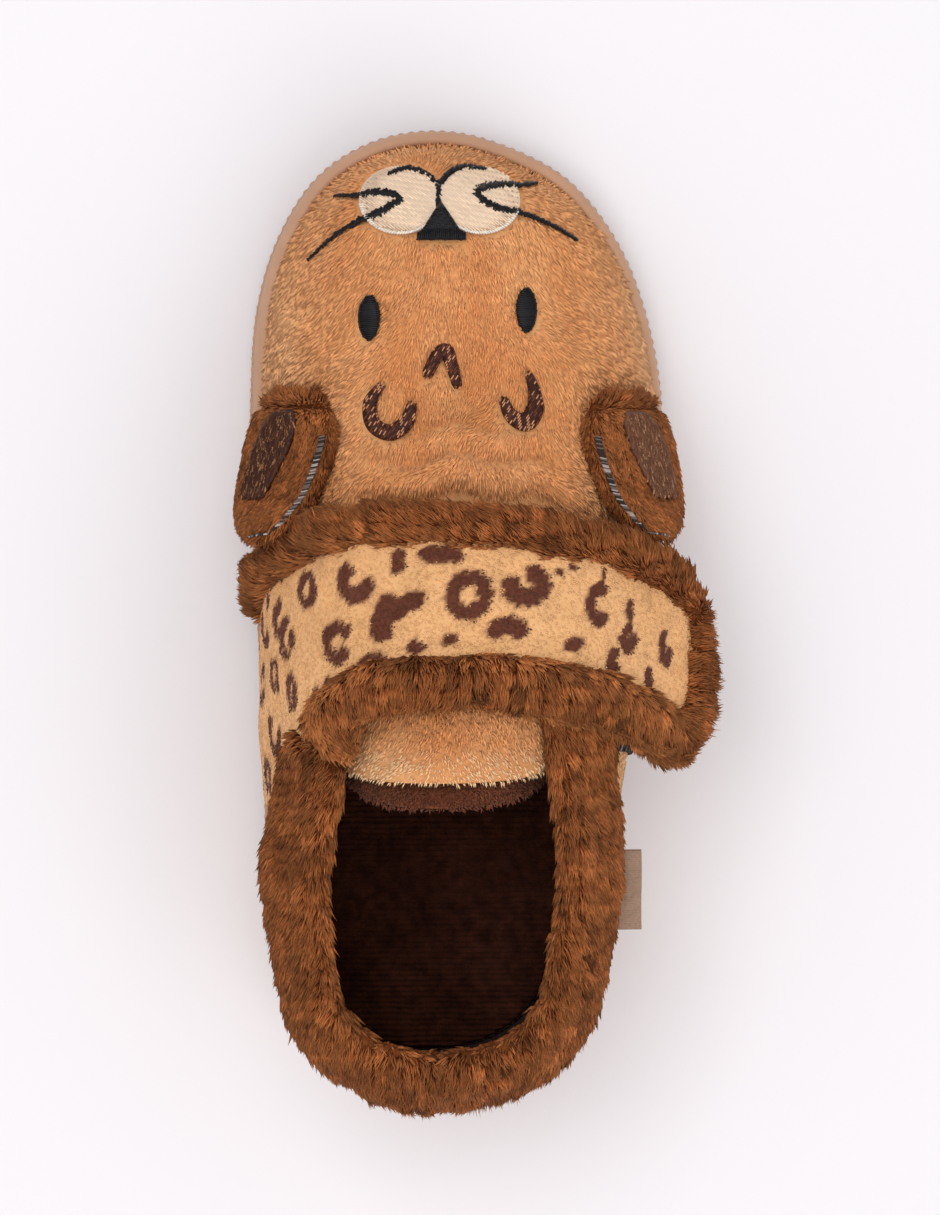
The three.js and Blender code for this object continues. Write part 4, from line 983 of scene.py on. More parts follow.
def stroke_line(stroke, step=0.3):
    """Evenly spaced middles, headings and widths along the smooth curve through a stroke's rows."""
    fine = path_values(stroke, np.linspace(0, len(stroke) - 1, 400))
    length = lengths_along(fine[:, :2])
    at = np.linspace(0, length[-1], max(3, int(length[-1] / step)))
    middle = np.stack([np.interp(at, length, fine[:, k]) for k in range(3)], 1)
    heading = unit_of(np.gradient(middle[:, :2], axis=0))
    return middle[:, :2], heading, middle[:, 2]


def path_values(values, place):
    """Smooth values between a path's stations, level past both ends."""
    return curve_through(np.concatenate([values[:1], values, values[-1:]]), place)


def outside_face(points):
    """How far a place of the plan is outside everything that is stitched on the vamp."""
    far = np.full(len(points), 99.0)
    for centre, radius in BLOTS.values():
        gap = points - centre
        far = np.minimum(far, np.linalg.norm(gap, axis=1) - radius(np.arctan2(gap[:, 1], gap[:, 0])))
    for stroke in [*BROWN_STROKES.values(), *MOUTH_STROKES]:
        middle, _, wide = stroke_line(stroke)
        gaps = np.linalg.norm(points[:, None] - middle[None], axis=2) - wide / 2
        far = np.minimum(far, gaps.min(1))
    return far


def blot_pad(name, low, high, colour, slot, rings=9, corners=96):
    """A thin pad with rounded edges that fills an outline round a centre."""
    centre, radius = BLOTS[name]
    turn = np.linspace(0, 2 * np.pi, corners, endpoint=False)
    share = np.linspace(1 / rings, 1, rings)
    spoke = np.stack([np.cos(turn), np.sin(turn)], 1) * radius(turn)[:, None]
    plan = centre + share[None, :, None] * spoke[:, None]
    over = low + (high - low) * np.sqrt(1.0001 - share**10)
    under_face, over_face = on_vamp(plan, low), on_vamp(plan, over)
    middles = on_vamp(np.stack([centre, centre]), np.array([low, high]))
    grid = np.concatenate([under_face, over_face[:, ::-1]], 1)
    points = np.concatenate([grid.reshape(-1, 3), middles])
    i, columns = np.arange(corners), 2 * rings
    k = (i + 1) % corners
    fans = np.concatenate([
        np.stack([k * columns, i * columns, 0 * i + len(points) - 2], 1),
        np.stack([(i + 1) * columns - 1, (k + 1) * columns - 1, 0 * i + len(points) - 1], 1),
    ])
    faces = [grid_faces(corners, columns, True, False), fans]
    make_piece(name + "_pad", points, faces, FACE_THREADS[slot], colour, [name])


def stroke_pad(stroke, low, high, narrowed=1.0):
    """The loops of a thin pad along a stroke, with rounded edges and ends."""
    middle, heading, wide = stroke_line(stroke * np.array([1, 1, narrowed]))
    across = np.stack([-heading[:, 1], heading[:, 0]], 1)
    share = np.linspace(-1, 1, 7)
    plan = middle[:, None] + across[:, None] * (wide[:, None] / 2 * share)[..., None]
    over = low + (high - low) * (0.35 + 0.65 * np.sqrt(1 - share**4)) + 0 * wide[:, None]
    return np.concatenate([on_vamp(plan, low), on_vamp(plan, over)[:, ::-1]], 1)


def joined_layers(layers):
    """The points and faces of several closed layers as one mesh."""
    points, faces, count = [], [], 0
    for layer in layers:
        each, corners = closed_layer(layer)
        points.append(each)
        faces.append(corners + count)
        count += len(each)
    return np.concatenate(points), np.concatenate(faces)


def stitches(name, starts, ends, normals, width, colours, material, dip=0.2):
    """Threads side by side. Each is a closed bar of three edges, rounded by its shading, that ends
    in a point at both ends, where it dips into the cloth."""
    along = unit_of(ends - starts)
    side = unit_of(np.cross(along, normals))
    up = np.cross(side, along)
    shoulder = np.minimum(0.22, np.linalg.norm(ends - starts, axis=1) * 0.3)[:, None]
    half = (width * np.ones(len(starts)) / 2)[:, None]
    ring = [side * half - up * 0.12, up * half, -side * half - up * 0.12]
    points = np.stack([
        starts - up * dip, *(starts + along * shoulder + edge for edge in ring),
        *(ends - along * shoulder + edge for edge in ring), ends - up * dip,
    ], 1).reshape(-1, 3)
    bar = ((0, 1, 2), (0, 2, 3), (0, 3, 1), (1, 4, 5), (1, 5, 2), (2, 5, 6), (2, 6, 3), (3, 6, 4),
           (3, 4, 1), (7, 5, 4), (7, 6, 5), (7, 4, 6))
    start = np.arange(len(starts))[:, None] * 8
    faces = np.concatenate([start + np.array(corners) for corners in bar])
    make_piece(name, points, [faces], material, np.repeat(colours, 8, axis=0))


def fill_stitches(inside, centre, reach, tilt, pitch, length, random):
    """The two ends in the plan of stitches that fill a shape, in rows at a tilt, each row started a
    third of a stitch later than the last. An end outside the shape is halved back to its edge."""
    u = np.array([math.cos(math.radians(tilt)), math.sin(math.radians(tilt))])
    v = np.array([-u[1], u[0]])
    rows, columns = int(reach / pitch), int(reach / length) + 1
    i, j = np.meshgrid(np.arange(-rows, rows + 1), np.arange(-columns, columns + 1), indexing="ij")
    i, j = i.ravel(), j.ravel()
    begun = (j + (i % 3) / 3 + random.uniform(-0.08, 0.08, len(i))) * length
    start = centre + v * (i * pitch)[:, None] + u * begun[:, None]
    end = start + u * length * 0.98
    first_in, second_in = inside(start) > 0, inside(end) > 0
    kept = first_in | second_in
    near = np.where(first_in[:, None], start, end)[kept]
    far = np.where(first_in[:, None], end, start)[kept]
    whole = (first_in & second_in)[kept]
    reached = near.copy()
    for _ in range(12):
        middle = (reached + far) / 2
        held = (inside(middle) > 0)[:, None]
        reached, far = np.where(held, middle, reached), np.where(held, far, middle)
    reached = np.where(whole[:, None], np.where(first_in[:, None], end, start)[kept], reached)
    long_enough = np.linalg.norm(reached - near, axis=1) > 0.35
    return near[long_enough], reached[long_enough]


def satin_stitches(stroke, pitch, tilt, random, over):
    """The two ends of stitches across a stroke, each leaning by tilt, with ragged ends."""
    middle, heading, wide = stroke_line(stroke, pitch)
    lean = math.radians(tilt)
    x = -heading[:, 1] * math.cos(lean) + heading[:, 0] * math.sin(lean)
    y = heading[:, 0] * math.cos(lean) + heading[:, 1] * math.sin(lean)
    across = np.stack([x, y], 1) * (wide / 2)[:, None]
    ends = [1 + over * random.normal(size=(len(wide), 1)) for _ in range(2)]
    return middle - across * ends[0], middle + across * ends[1]


def inside_blot(name):
    """A function that gives how far places of the plan are inside a shape of the face."""
    centre, radius = BLOTS[name]

    def inside(points):
        gap = points - centre
        return radius(np.arctan2(gap[:, 1], gap[:, 0])) - np.linalg.norm(gap, axis=1)

    return inside


def lay(name, pairs, level, width, colours, slot):
    """Stitches on the vamp from their ends in the plan, at a level over it."""
    starts, ends = (np.concatenate(each) for each in zip(*pairs))
    level = np.broadcast_to(level, len(starts))
    stitches(
        name, on_vamp(starts, level), on_vamp(ends, level), vamp_normal((starts + ends) / 2), width,
        colours(len(starts)), FACE_THREADS[slot],
    )


thread = tinted_material("embroidery_thread", 0.42, 0.15, 0.45, (2500, 0.06), (5000, 0.35, 0.06))
black_gloss = tinted_material("black_embroidery", 0.45, 0, 0.3, (2500, 0.1), (5000, 0.4, 0.06))
brown_gloss = tinted_material("brown_embroidery", 0.55, 0, 0.25, (2500, 0.08), (5000, 0.35, 0.06))
FACE_THREADS = {"cream_thread": thread, "black_thread": black_gloss, "brown_thread": brown_gloss}
face_random = np.random.default_rng(101)


def dyed(colour, spread):
    """A colour for each of a number of threads, each a little lighter or darker."""
    return lambda count: np.clip(colour * (1 + spread * face_random.normal(size=(count, 1))), 0, 1)


def brown_mix(count):
    """Threads of the three browns, mixed as they lie in the marks."""
    return BROWN_THREADS[face_random.choice(3, count, p=BROWN_SHARES)] * (
        1 + 0.1 * face_random.normal(size=(count, 1))
    )


black_dye = dyed(BLACK_THREAD, 0.3)
# The pad is darkened to 0.8 of the cream as painted shade between the stitches over it.
blot_pad("muzzle", FIT_GAP, PAD_TOP, CREAM_THREAD * 0.8, "cream_thread")
muzzle_inside = inside_blot("muzzle")
fill = fill_stitches(muzzle_inside, MUZZLE_AT, 14, -38, 0.33, 1.9, face_random)
lay("muzzle_stitches", [fill], PAD_TOP, 0.37, dyed(CREAM_THREAD, 0.06), "cream_thread")
EDGE_ARCS = ((183, 246), (294, 352))  # degrees round the muzzle's middle, along both lobes' rear edges
edge_pairs = []
for start, end in EDGE_ARCS:
    turn = np.radians(np.arange(start, end, 1.9))
    spoke = np.stack([np.cos(turn), np.sin(turn)], 1)
    radius = muzzle_radius(turn)[:, None]
    edge_pairs.append((MUZZLE_AT + spoke * (radius - 0.75), MUZZLE_AT + spoke * (radius + 0.15)))
lay("muzzle_edging", edge_pairs, PAD_TOP + 0.08, 0.36, dyed(WHITE_THREAD * 0.88, 0.06), "cream_thread")

nose_top = 2 * PAD_TOP - 0.25
blot_pad("nose", PAD_TOP + FIT_GAP / 2, nose_top, BLACK_THREAD, "black_thread")
nose_fill = fill_stitches(inside_blot("nose"), NOSE_AT, 6, 8, 0.34, 1.7, face_random)
base_x = np.arange(0.35 - NOSE["half"], NOSE["half"] - 0.2, 0.3)
base_low = NOSE_AT + np.stack([base_x, 0 * base_x - NOSE["base"] - 0.1], 1)
base_rise = NOSE_BAND * (1 - 0.4 * (base_x / NOSE["half"]) ** 4)
base_band = (base_low, base_low + np.stack([0 * base_x + 0.06, base_rise], 1))
band_level = nose_top + 0.12 - 0.35 * smooth_step(0.1, -0.7, inside_blot("nose")(base_band[1]))
lay("nose_stitches", [nose_fill], nose_top, 0.37, black_dye, "black_thread")
lay("nose_base_stitches", [base_band], band_level, 0.36, black_dye, "black_thread")

for name in ("eye_inner", "eye_outer"):
    blot_pad(name, FIT_GAP, PAD_TOP, BLACK_THREAD, "black_thread", rings=6, corners=48)
eye_pairs = []
for centre in EYES_AT.values():
    rise = np.arange(-EYE_HALF[1] + 0.1, EYE_HALF[1], 0.3)
    half = EYE_HALF[0] * np.sqrt(1 - (rise / EYE_HALF[1]) ** 2) - 0.1 + 0.3 * face_random.random(len(rise))
    eye_pairs.append([centre + np.stack([sign * half, rise + 0.12 * sign], 1) for sign in (-1, 1)])
lay("eye_stitches", eye_pairs, PAD_TOP + 0.03, 0.37, black_dye, "black_thread")

mouth_layers = [stroke_pad(stroke, 0.05, 0.6, 0.5) for stroke in MOUTH_STROKES]
points, faces = joined_layers(mouth_layers)
make_piece("mouth_pads", points, [faces], black_gloss, BLACK_THREAD)
mouth_pairs = [
    satin_stitches(stroke * np.array([1, 1, MOUTH_WIDENED]), 0.22, 34, face_random, 0.24)
    for stroke in MOUTH_STROKES
]
mouth_middles = np.concatenate([(start + end) / 2 for start, end in mouth_pairs])
over_muzzle = smooth_step(-0.3, 0.3, muzzle_inside(mouth_middles))
mouth_level = MOUTH_LEVEL + (PAD_TOP + 0.16 - MOUTH_LEVEL) * over_muzzle
lay("mouth_stitches", mouth_pairs, mouth_level, 0.34, dyed(BLACK_THREAD, 0.35), "black_thread")

for name, stroke in BROWN_STROKES.items():
    points, faces = closed_layer(stroke_pad(stroke, FIT_GAP, PAD_TOP))
    make_piece(name + "_pad", points, [faces], brown_gloss, BROWN_THREADS[0], [name])


def inside_stroke(stroke):
    """A function that gives how far places of the plan are inside a stroke."""
    middle, _, wide = stroke_line(stroke)
    return lambda points: (wide / 2 - np.linalg.norm(points[:, None] - middle[None], axis=2)).max(1)


brown_pairs = [
    fill_stitches(inside_stroke(stroke), stroke[:, :2].mean(0), 9, 58, 0.3, 1.1, face_random)
    for stroke in BROWN_STROKES.values()
]
lay("brown_mark_stitches", brown_pairs, PAD_TOP + 0.04, 0.3, brown_mix, "brown_thread")

# The vamp's pile. It lies back from the toe and spreads to both sides, and stays off the stitching.
def thick_at_rim(middles, normals):
    """More fibres low down, where they hang over the sole's rim."""
    low = smooth_step(RIM_HEIGHT + 5, RIM_HEIGHT + 1, middles[:, 2])
    return above_rim(middles, normals) * (1 + 1.3 * low)


roots, normals, i, j = scatter(vamp_out, VAMP_FIBRES, pile_random, thick_at_rim, False)
clear = outside_face(roots[:, :2]) > -0.15
roots, normals = roots[clear], normals[clear]
swirl = ripple(roots[:, :2], 26, 65)
low_down = smooth_step(RIM_HEIGHT + 9, RIM_HEIGHT + 1, roots[:, 2])
lie = np.stack([
    0.85 * across_of(roots) + 0.35 * swirl,
    -0.9 + 1.5 * smooth_step(138, 156, roots[:, 1]) + 0.3 * ripple(roots[:, :2], 18, 66),
    -0.4 - 0.5 * low_down,
], 1)
colours = shades_of(tan_with_painted_light(roots, 64), pile_random, 0.78, 1.12, 0.06)
pile(
    "vamp_pile", "tan_plush", plush_fibre, pile_random, roots, normals, lie,
    length=2.7 + 0.5 * low_down, width=0.17, lift=0.27 + 0.42 * low_down, colours=colours,
    tangle=0.17, gather=0.32, gather_size=1.9, tuft_tone_and_border_shade=0.03,
)

# Tongue: a flap of tan plush under the throat and the strap, on brown fleece that reaches a little
# further back. Its rear edge has a fringe of longer, paler pile.
TONGUE = {"rear": 0.325, "front": 0.59, "half": 0.6, "rounding": 0.05}
TONGUE_LINING = {"rear": 0.3, "front": 0.59, "half": 0.56, "rounding": 0.05}
TONGUE_THICKNESS = 3.5
TONGUE_LINING_THICKNESS = 2.8
TONGUE_FIBRES = 6200
TONGUE_LINING_FIBRES = 3500
BROWN_FLEECE = linear(112, 64, 42)


def arch_layer(across, rear, front, low, thick, cells, waves, thin=1.0):
    """A layer over the foot, as closed loops across it: the lower face from its rear edge to its
    front edge and the upper face back. Both edges are rounded, the section being an oval drawn out
    by a high power, and the upper face is moved by waves. Towards the rear edge the thickness
    falls in a straight line to the share thin of it."""
    rear, front, low, thick, thin = (
        np.broadcast_to(value, across.shape)[:, None] for value in (rear, front, low, thick, thin)
    )
    share = 0.5 - 0.5 * np.cos(np.linspace(0.02, 0.98, cells + 1) * np.pi)[None, :]
    full = (1 - np.abs(2 * share - 1) ** 3.0) ** (1 / 2.4)
    along = rear + share * (front - rear)
    half = (thick / 2) * (thin + (1 - thin) * np.minimum(1, 2 * share))
    middle = low + half
    lower = arch_point(along, across[:, None], middle - half * full)
    raised = middle + half * full
    flat = arch_point(along, across[:, None], raised)
    raised = raised + rippled(flat.reshape(-1, 3), waves).reshape(raised.shape) * full
    upper_face = arch_point(along, across[:, None], raised)
    return np.concatenate([lower, upper_face[:, ::-1]], 1)


def tongue_loops(shape, low, thick, waves):
    """The loops of the tongue or of its lining, whose corners are rounded."""
    across = np.linspace(-shape["half"], shape["half"], 64)
    drawn = shape["rounding"] * (across / shape["half"]) ** 4
    return arch_layer(across, shape["rear"] + drawn, shape["front"] - drawn, low, thick, 30, waves)


tongue_low = -UPPER_WALL - LAYER_GAP - TONGUE_THICKNESS
tongue_grid = tongue_loops(TONGUE, tongue_low, TONGUE_THICKNESS, [(0.35, 14, 71)])
points, faces = closed_layer(tongue_grid)
# The plush under the pile is darkened to 0.85 as painted shade beneath the fibres.
tint = tan_with_painted_light(points, 72) * 0.85
tongue = make_piece("tongue_pad", points, [faces], tan_plush, tint, ["tongue"])


def facing_up(middles, normals):
    """Only the faces that look upwards, a little of the edges too."""
    return smooth_step(-0.2, 0.3, normals[:, 2])


def visible_tongue(middles, normals):
    """The same, only behind and under the strap, where the tongue shows."""
    return facing_up(middles, normals) * (middles[:, 1] < 0.5 * SOLE_LENGTH)


roots, normals, _, _ = scatter(tongue_grid, TONGUE_FIBRES, pile_random, visible_tongue)
fringe = 1 - smooth_step(0.335, 0.375, roots[:, 1] / SOLE_LENGTH)
colour = tan_with_painted_light(roots, 72)
colour = colour + (TAN_LIGHT - colour) * 0.8 * fringe[:, None]
sideways = 0.25 * ripple(roots[:, :2], 12, 73) + 0.5 * across_of(roots)
lie = np.stack([sideways, -1 + 0 * fringe, -0.3 - 0.3 * fringe], 1)
colours = shades_of(colour, pile_random, 0.74, 1.12)
pile(
    "tongue_pile", "tan_plush", plush_fibre, pile_random, roots, normals, lie,
    length=2.2 - 1.0 * fringe, width=0.2, lift=0.34 + 0.25 * fringe, colours=colours,
    tangle=0.22, gather=0.35, gather_size=1.2,
)

lining_low = -UPPER_WALL - TONGUE_THICKNESS - 2 * LAYER_GAP - TONGUE_LINING_THICKNESS
lining_grid = tongue_loops(TONGUE_LINING, lining_low, TONGUE_LINING_THICKNESS, [(0.25, 9, 74)])
points, faces = closed_layer(lining_grid)
brown_fleece = tinted_material("brown_fleece", 0.95, 0.3, 0.08, (900, 0.3), (1700, 0.9, 0.4))
tint = BROWN_FLEECE * (1 + 0.12 * ripple(points, 6, 75, 2))[:, None]
tongue_fleece = make_piece(
    "tongue_fleece", points, [faces], brown_fleece, tint, ["tongue_lining"]
)


def rear_edge(middles, normals):
    """The lining's rear edge, which shows behind the tongue."""
    return (middles[:, 1] < 0.36 * SOLE_LENGTH) * smooth_step(-0.6, 0.2, normals[:, 2])


roots, normals, _, _ = scatter(lining_grid, TONGUE_LINING_FIBRES, pile_random, rear_edge)
colour = BROWN_FLEECE * (1 + 0.15 * ripple(roots, 5, 76))[:, None]
colours = shades_of(colour, pile_random, 0.55, 1.2, 0.15)
pile(
    "tongue_fleece_pile", "brown_fleece", plush_fibre, pile_random, roots, normals,
    np.array([0, -1, -0.3]) + 0 * roots, length=1.3, width=0.2, lift=0.7, colours=colours, tangle=0.9,
)

# Collar binding: a strip of long brown fur folded over the collar, from the outer side of the
# throat round the heel to the strap. Its fur lies outwards and back.
COLLAR_FUR = {"thick": 2.6, "wide": 6.4, "drop": 2.6}
COLLAR_START = 0.455
COLLAR_END = 0.33
ROLL_BLUNT = 0.85
FUR_WAVES = ((0.45, 9, 82), (0.25, 3.6, 83))
FUR_DRAWN_IN = 0.25
COLLAR_FIBRES = 40500
FUR_WIDTH = 0.185
LONG_TUFTS = {"tangle": 0.22, "gather": 0.66, "gather_size": 2.1, "tuft_tone_and_border_shade": 0.2}
# The roots' colour is painted shade among the fibres, and the tips' colour a painted highlight.
FUR_ROOT_SHADE = linear(54, 24, 10)
FUR_MIDDLE = linear(138, 76, 38)
FUR_TIP_HIGHLIGHT = linear(192, 122, 70)


def collar_path():
    """The centres of the roll along the collar, with the directions out of the wall."""
    start, end = float(turn_at(COLLAR_START, True)), float(turn_at(COLLAR_END, False))
    turns = np.concatenate([np.linspace(start, 0, 16), np.linspace(2, end, 13)[1:]])
    top = edge_angle(turns)
    small = 0.01
    moved = np.linalg.norm(upper_point(turns, top) - upper_point(turns, top - small), axis=1)
    angle = top - COLLAR_FUR["drop"] * small / moved
    centre = upper_point(turns, angle, -TOPLINE_WALL / 2)
    away = unit_of(upper_point(turns, angle, 1) - upper_point(turns, angle, -1))
    size = np.tile([COLLAR_FUR["thick"], COLLAR_FUR["wide"]], (len(turns), 1))
    return centre, away, size


def path_frame(path, place):
    """The middle of the roll at places along its path, and two directions square to it: side, in
    the cloth that it binds, and out of that cloth."""
    centre, away = path[:2]
    last = len(centre) - 1
    ahead = path_values(centre, np.minimum(last, place + 0.05))
    heading = unit_of(ahead - path_values(centre, np.maximum(0, place - 0.05)))
    side = unit_of(np.cross(path_values(away, place), heading))
    return path_values(centre, place), side, np.cross(heading, side)


def roll(path, start, end, count, corners, relief, tapers):
    """A blunt oval section carried along a path, square to it and moved out by relief. Both ends
    are drawn to a point by a quarter circle, over the tapers given in stations."""
    place = np.linspace(start, end, count)
    middle, side, out = path_frame(path, place)
    thick, wide = path_values(path[2], place).T
    turn = np.linspace(0, 2 * np.pi, corners, endpoint=False)
    bulged = [np.sign(f(turn)) * np.abs(f(turn)) ** ROLL_BLUNT for f in (np.cos, np.sin)]
    tip = np.minimum(1, np.minimum((place - start) / tapers[0], (end - place) / tapers[1]))
    drawn = np.sqrt(np.maximum(1e-4, 1 - (1 - tip) ** 2))[:, None]
    x, y = thick[:, None] * bulged[0] * drawn, wide[:, None] * bulged[1] * drawn
    face = middle[:, None] + out[:, None] * x[..., None] + side[:, None] * y[..., None]
    flat = face.reshape(-1, 3)
    push = unit_of((face - middle[:, None]).reshape(-1, 3)) * relief(flat)[:, None]
    return (flat + push).reshape(face.shape)


def capped(grid):
    """The points and faces of a tube whose two ends are closed by fans."""
    rows, columns = grid.shape[:2]
    points = np.concatenate([grid.reshape(-1, 3), grid[[0, -1]].mean(1)])
    j = np.arange(columns)
    k = (j + 1) % columns
    first, last = rows * columns, rows * columns + 1
    start = (rows - 1) * columns
    ends = np.concatenate([
        np.stack([0 * j + first, j, k], 1),
        np.stack([0 * j + last, start + k, start + j], 1),
    ])
    return points, [grid_faces(rows, columns), ends]


def fur_tint(points, seed):
    """Brown that a slow noise turns darker and paler in patches."""
    patches = 0.97 + 0.11 * ripple(points, 12, seed) + 0.09 * ripple(points, 4.2, seed + 1)
    return FUR_MIDDLE * np.clip(patches, 0.45, 1.6)[:, None]


def fur_shades(points, seed, random):
    """Roots darkened as painted shade among the fibres, brown middles, and tips paler as a painted
    highlight, each fibre a little lighter or darker.
    """
    own = (1 + 0.13 * random.normal(size=(len(points), 1))) * (fur_tint(points, seed) / FUR_MIDDLE)
    return FUR_ROOT_SHADE * own, FUR_MIDDLE * own, FUR_TIP_HIGHLIGHT * own


fur_skin = tinted_material("brown_fur_skin", 0.95, 0.0, 0.05, (700, 0.35), (900, 1.0, 0.8))
fur_fibre = tinted_material("brown_fur_fibre", 0.7, 0.0, 0.12, (600, 0.14), (3000, 0.0, 0.05))
STRAP_FUR = {"thick": 2.7, "rear": 3.9, "end": 3.6, "front": 3.2}
STRAP_OUTWARDS = {"rear": -1.0, "front": 1.0}  # how far the roll stands out from the strap's edge
STRAP_TRIM = (0.32, 0.9)  # shares of the strap between which its rear edge is bound
STRAP_THICKNESS = 3
STRAP_COLUMNS = "across rear front under thick thin".split()
STRAP = np.array([
    [-0.87, 0.3, 0.505, 0.5, 0.35, 0.3],
    [-0.72, 0.3, 0.518, 0.5, 0.4, 0.3],
    [-0.57, 0.318, 0.545, 0.55, 0.5, 0.4],
    [-0.42, 0.37, 0.564, 1.6, 0.75, 0.8],
    [-0.25, 0.425, 0.573, 3.4, 1, 1],
    [0, 0.436, 0.574, 4.4, 1, 1],
    [0.24, 0.428, 0.562, 4.7, 1, 1],
    [0.43, 0.408, 0.542, 4.8, 1, 1],
    [0.55, 0.388, 0.52, 5.6, 1, 1],
    [0.62, 0.376, 0.499, 7, 1, 1],
    [0.655, 0.382, 0.478, 8.2, 1, 1],
    [0.672, 0.4, 0.456, 8.9, 1, 1],
])


def strap_value(name, share):
    """A column of the strap's table at a share of its rows, on a smooth curve with straight ends."""
    column = STRAP[:, STRAP_COLUMNS.index(name)]
    before, after = 2 * column[0] - column[1], 2 * column[-1] - column[-2]
    return curve_through(np.concatenate([[before], column, [after]]), share * (len(STRAP) - 1))


def strap_edge(share, name, wide):
    """The centres of the roll along one of the strap's edges, and the directions out of the strap."""
    along = strap_value(name, share) + STRAP_OUTWARDS[name] / SOLE_LENGTH
    across = strap_value("across", share)
    height = strap_value("under", share) + strap_value("thick", share) * STRAP_THICKNESS / 2
    away = unit_of(arch_point(along, across, height + 1) - arch_point(along, across, height - 1))
    return arch_point(along, across, height), away, np.tile([STRAP_FUR["thick"], wide], (len(share), 1))


def binding_path():
    """The whole strip: round the collar, up the strap's rear edge, round its free end and back."""
    rear = strap_edge(np.linspace(*STRAP_TRIM, 12), "rear", STRAP_FUR["rear"])
    ends = [strap_edge(np.array([1.0]), name, STRAP_FUR["end"]) for name in ("rear", "front")]
    end = ((ends[0][0] + ends[1][0]) / 2, ends[0][1], ends[0][2])
    front = strap_edge(np.linspace(STRAP_TRIM[1], 0, 15), "front", STRAP_FUR["front"])
    return [np.concatenate(parts) for parts in zip(collar_path(), rear, end, front)]


def fur_relief(points):
    """The unevenness of the fur's skin, drawn in so that the fibres reach the roll's true size."""
    return rippled(points, FUR_WAVES) - FUR_DRAWN_IN


def fur_piece(name, grid, replaced, seed):
    """The fur's skin under its fibres, its patchy brown darkened to 0.6 as painted shade beneath them."""
    points, faces = capped(grid)
    piece = make_piece(name, points, faces, fur_skin, fur_tint(points, seed) * 0.6, replaced)


fur_random = np.random.default_rng(81)
binding = binding_path()
BINDING_END = len(binding[0]) - 1
BINDING_SEAM = len(collar_path()[0]) - 0.5
COLLAR_ROWS = 240
collar_grid = roll(binding, 0, BINDING_SEAM, COLLAR_ROWS, 22, fur_relief, (0.35, 0.05))
fur_piece("collar_fur_skin", collar_grid, ["collar_binding"], 84)


def swung(points, amount, size, seed):
    """The swing of the nap to both sides, which changes slowly from place to place."""
    ways = ripple(points, size, seed), ripple(points, size, seed + 1), np.zeros(len(points))
    return amount * np.stack(ways, 1)


def outside_of_room(middles, normals):
    """Fewer fibres where the roll's underside lies against the wall."""
    return smooth_step(-0.95, -0.5, normals[:, 2])


roots, normals, i, _ = scatter(collar_grid, COLLAR_FIBRES, fur_random, outside_of_room)
place = i / (COLLAR_ROWS - 1) * BINDING_SEAM
outwards = unit_of(path_values(binding[1], place) * np.array([1, 1, 0]))
lie = outwards * 0.3 + np.array([0, -0.9, -0.3]) + swung(roots, 0.25, 11, 85)
colours = fur_shades(roots, 84, fur_random)
pile(
    "collar_fur", "brown_fur", fur_fibre, fur_random, roots, normals, lie,
    length=3.4, width=FUR_WIDTH, lift=0.36, colours=colours, **LONG_TUFTS,
)

# Strap: printed plush over a thin pad, from the inner quarter over the instep to its free end.
STRAP_FIBRES = 14000
STRAP_WAVES = ((0.3, 13, 91), (0.15, 5, 92))
STRAP_CELLS = 44
STRAP_ROWS = 210
# The print's spots that show on it, placed by their share of the length and how far across the foot
# they lie; the other columns are those of the repeat, with the toe's and the outer side's half size.
STRAP_SPOTS = np.array([
    [0.513, 0.016, 2.8, 2.6, 0, 0, 360, 1.15],
    [0.523, 0.165, 2.0, 2.6, 0, 180, 250, 1.35],
    [0.490, -0.205, 1.8, 0.3, -15, 90, 180, 1.75],
    [0.5005, -0.160, 0.2, 2.4, 30, 0, 180, 1.35],
    [0.4654, -0.336, 2.4, 2.4, 0, 45, 270, 1.1],
    [0.520, -0.45, 2.2, 1.9, 0, 120, 300, 0.9],
    [0.5265, -0.29, 2.2, 2.4, -15, 150, 210, 1.2],
    [0.547, -0.176, 1.0, 0.2, 0, 90, 180, 1.0],
    [0.553, -0.065, 0.2, 2.2, 0, 0, 180, 1.2],
    [0.470, -0.53, 2.6, 1.6, 0, 90, 190, 0.85],
    [0.470, -0.505, 0.8, 0.1, 0, 90, 180, 0.8],
    [0.4164, -0.50, 2.3, 1.2, 0, -60, 300, 0.8],
    [0.4414, -0.238, 0.8, 1.6, 20, 0, 360, 1.2],
    [0.4613, -0.12, 0.3, 0.6, 0, 0, 360, 0.8],
    [0.4685, -0.031, 0.2, 0.6, 0, 0, 360, 0.7],
    [0.4785, 0.124, 0.8, 1.8, 0, 0, 180, 1.3],
    [0.413, -0.386, 0.9, 1.3, 0, 150, 230, 0.8],
    [0.425, -0.365, 0.6, 0.1, -20, 90, 180, 0.7],
    [0.5035, 0.349, 2.6, 1.4, 10, 60, 240, 1.0],
    [0.4703, 0.440, 1.6, 1.1, 0, 100, 250, 0.9],
    [0.4596, 0.550, 2.2, 1.0, 15, 110, 220, 0.85],
    [0.4982, 0.438, 1.0, 0.2, 10, 90, 180, 0.75],
    [0.446, 0.402, 1.2, 0.3, 10, 90, 180, 1.1],
    [0.4288, 0.507, 0.9, 0.3, 20, 90, 180, 0.95],
    [0.4635, 0.291, 0.2, 0.9, 0, 0, 180, 0.9],
    [0.5358, 0.246, 0.1, 0.1, 0, 0, 180, 0.55],
    [0.5408, 0.278, 0.1, 0.4, 0, 0, 180, 0.5],
    [0.5345, 0.357, 0.6, 0.1, 0, 90, 180, 0.45],
])
SPOTS_FROM = -0.56  # inwards of this the plain repeat goes on
SPOTS_THICKER = 1.18

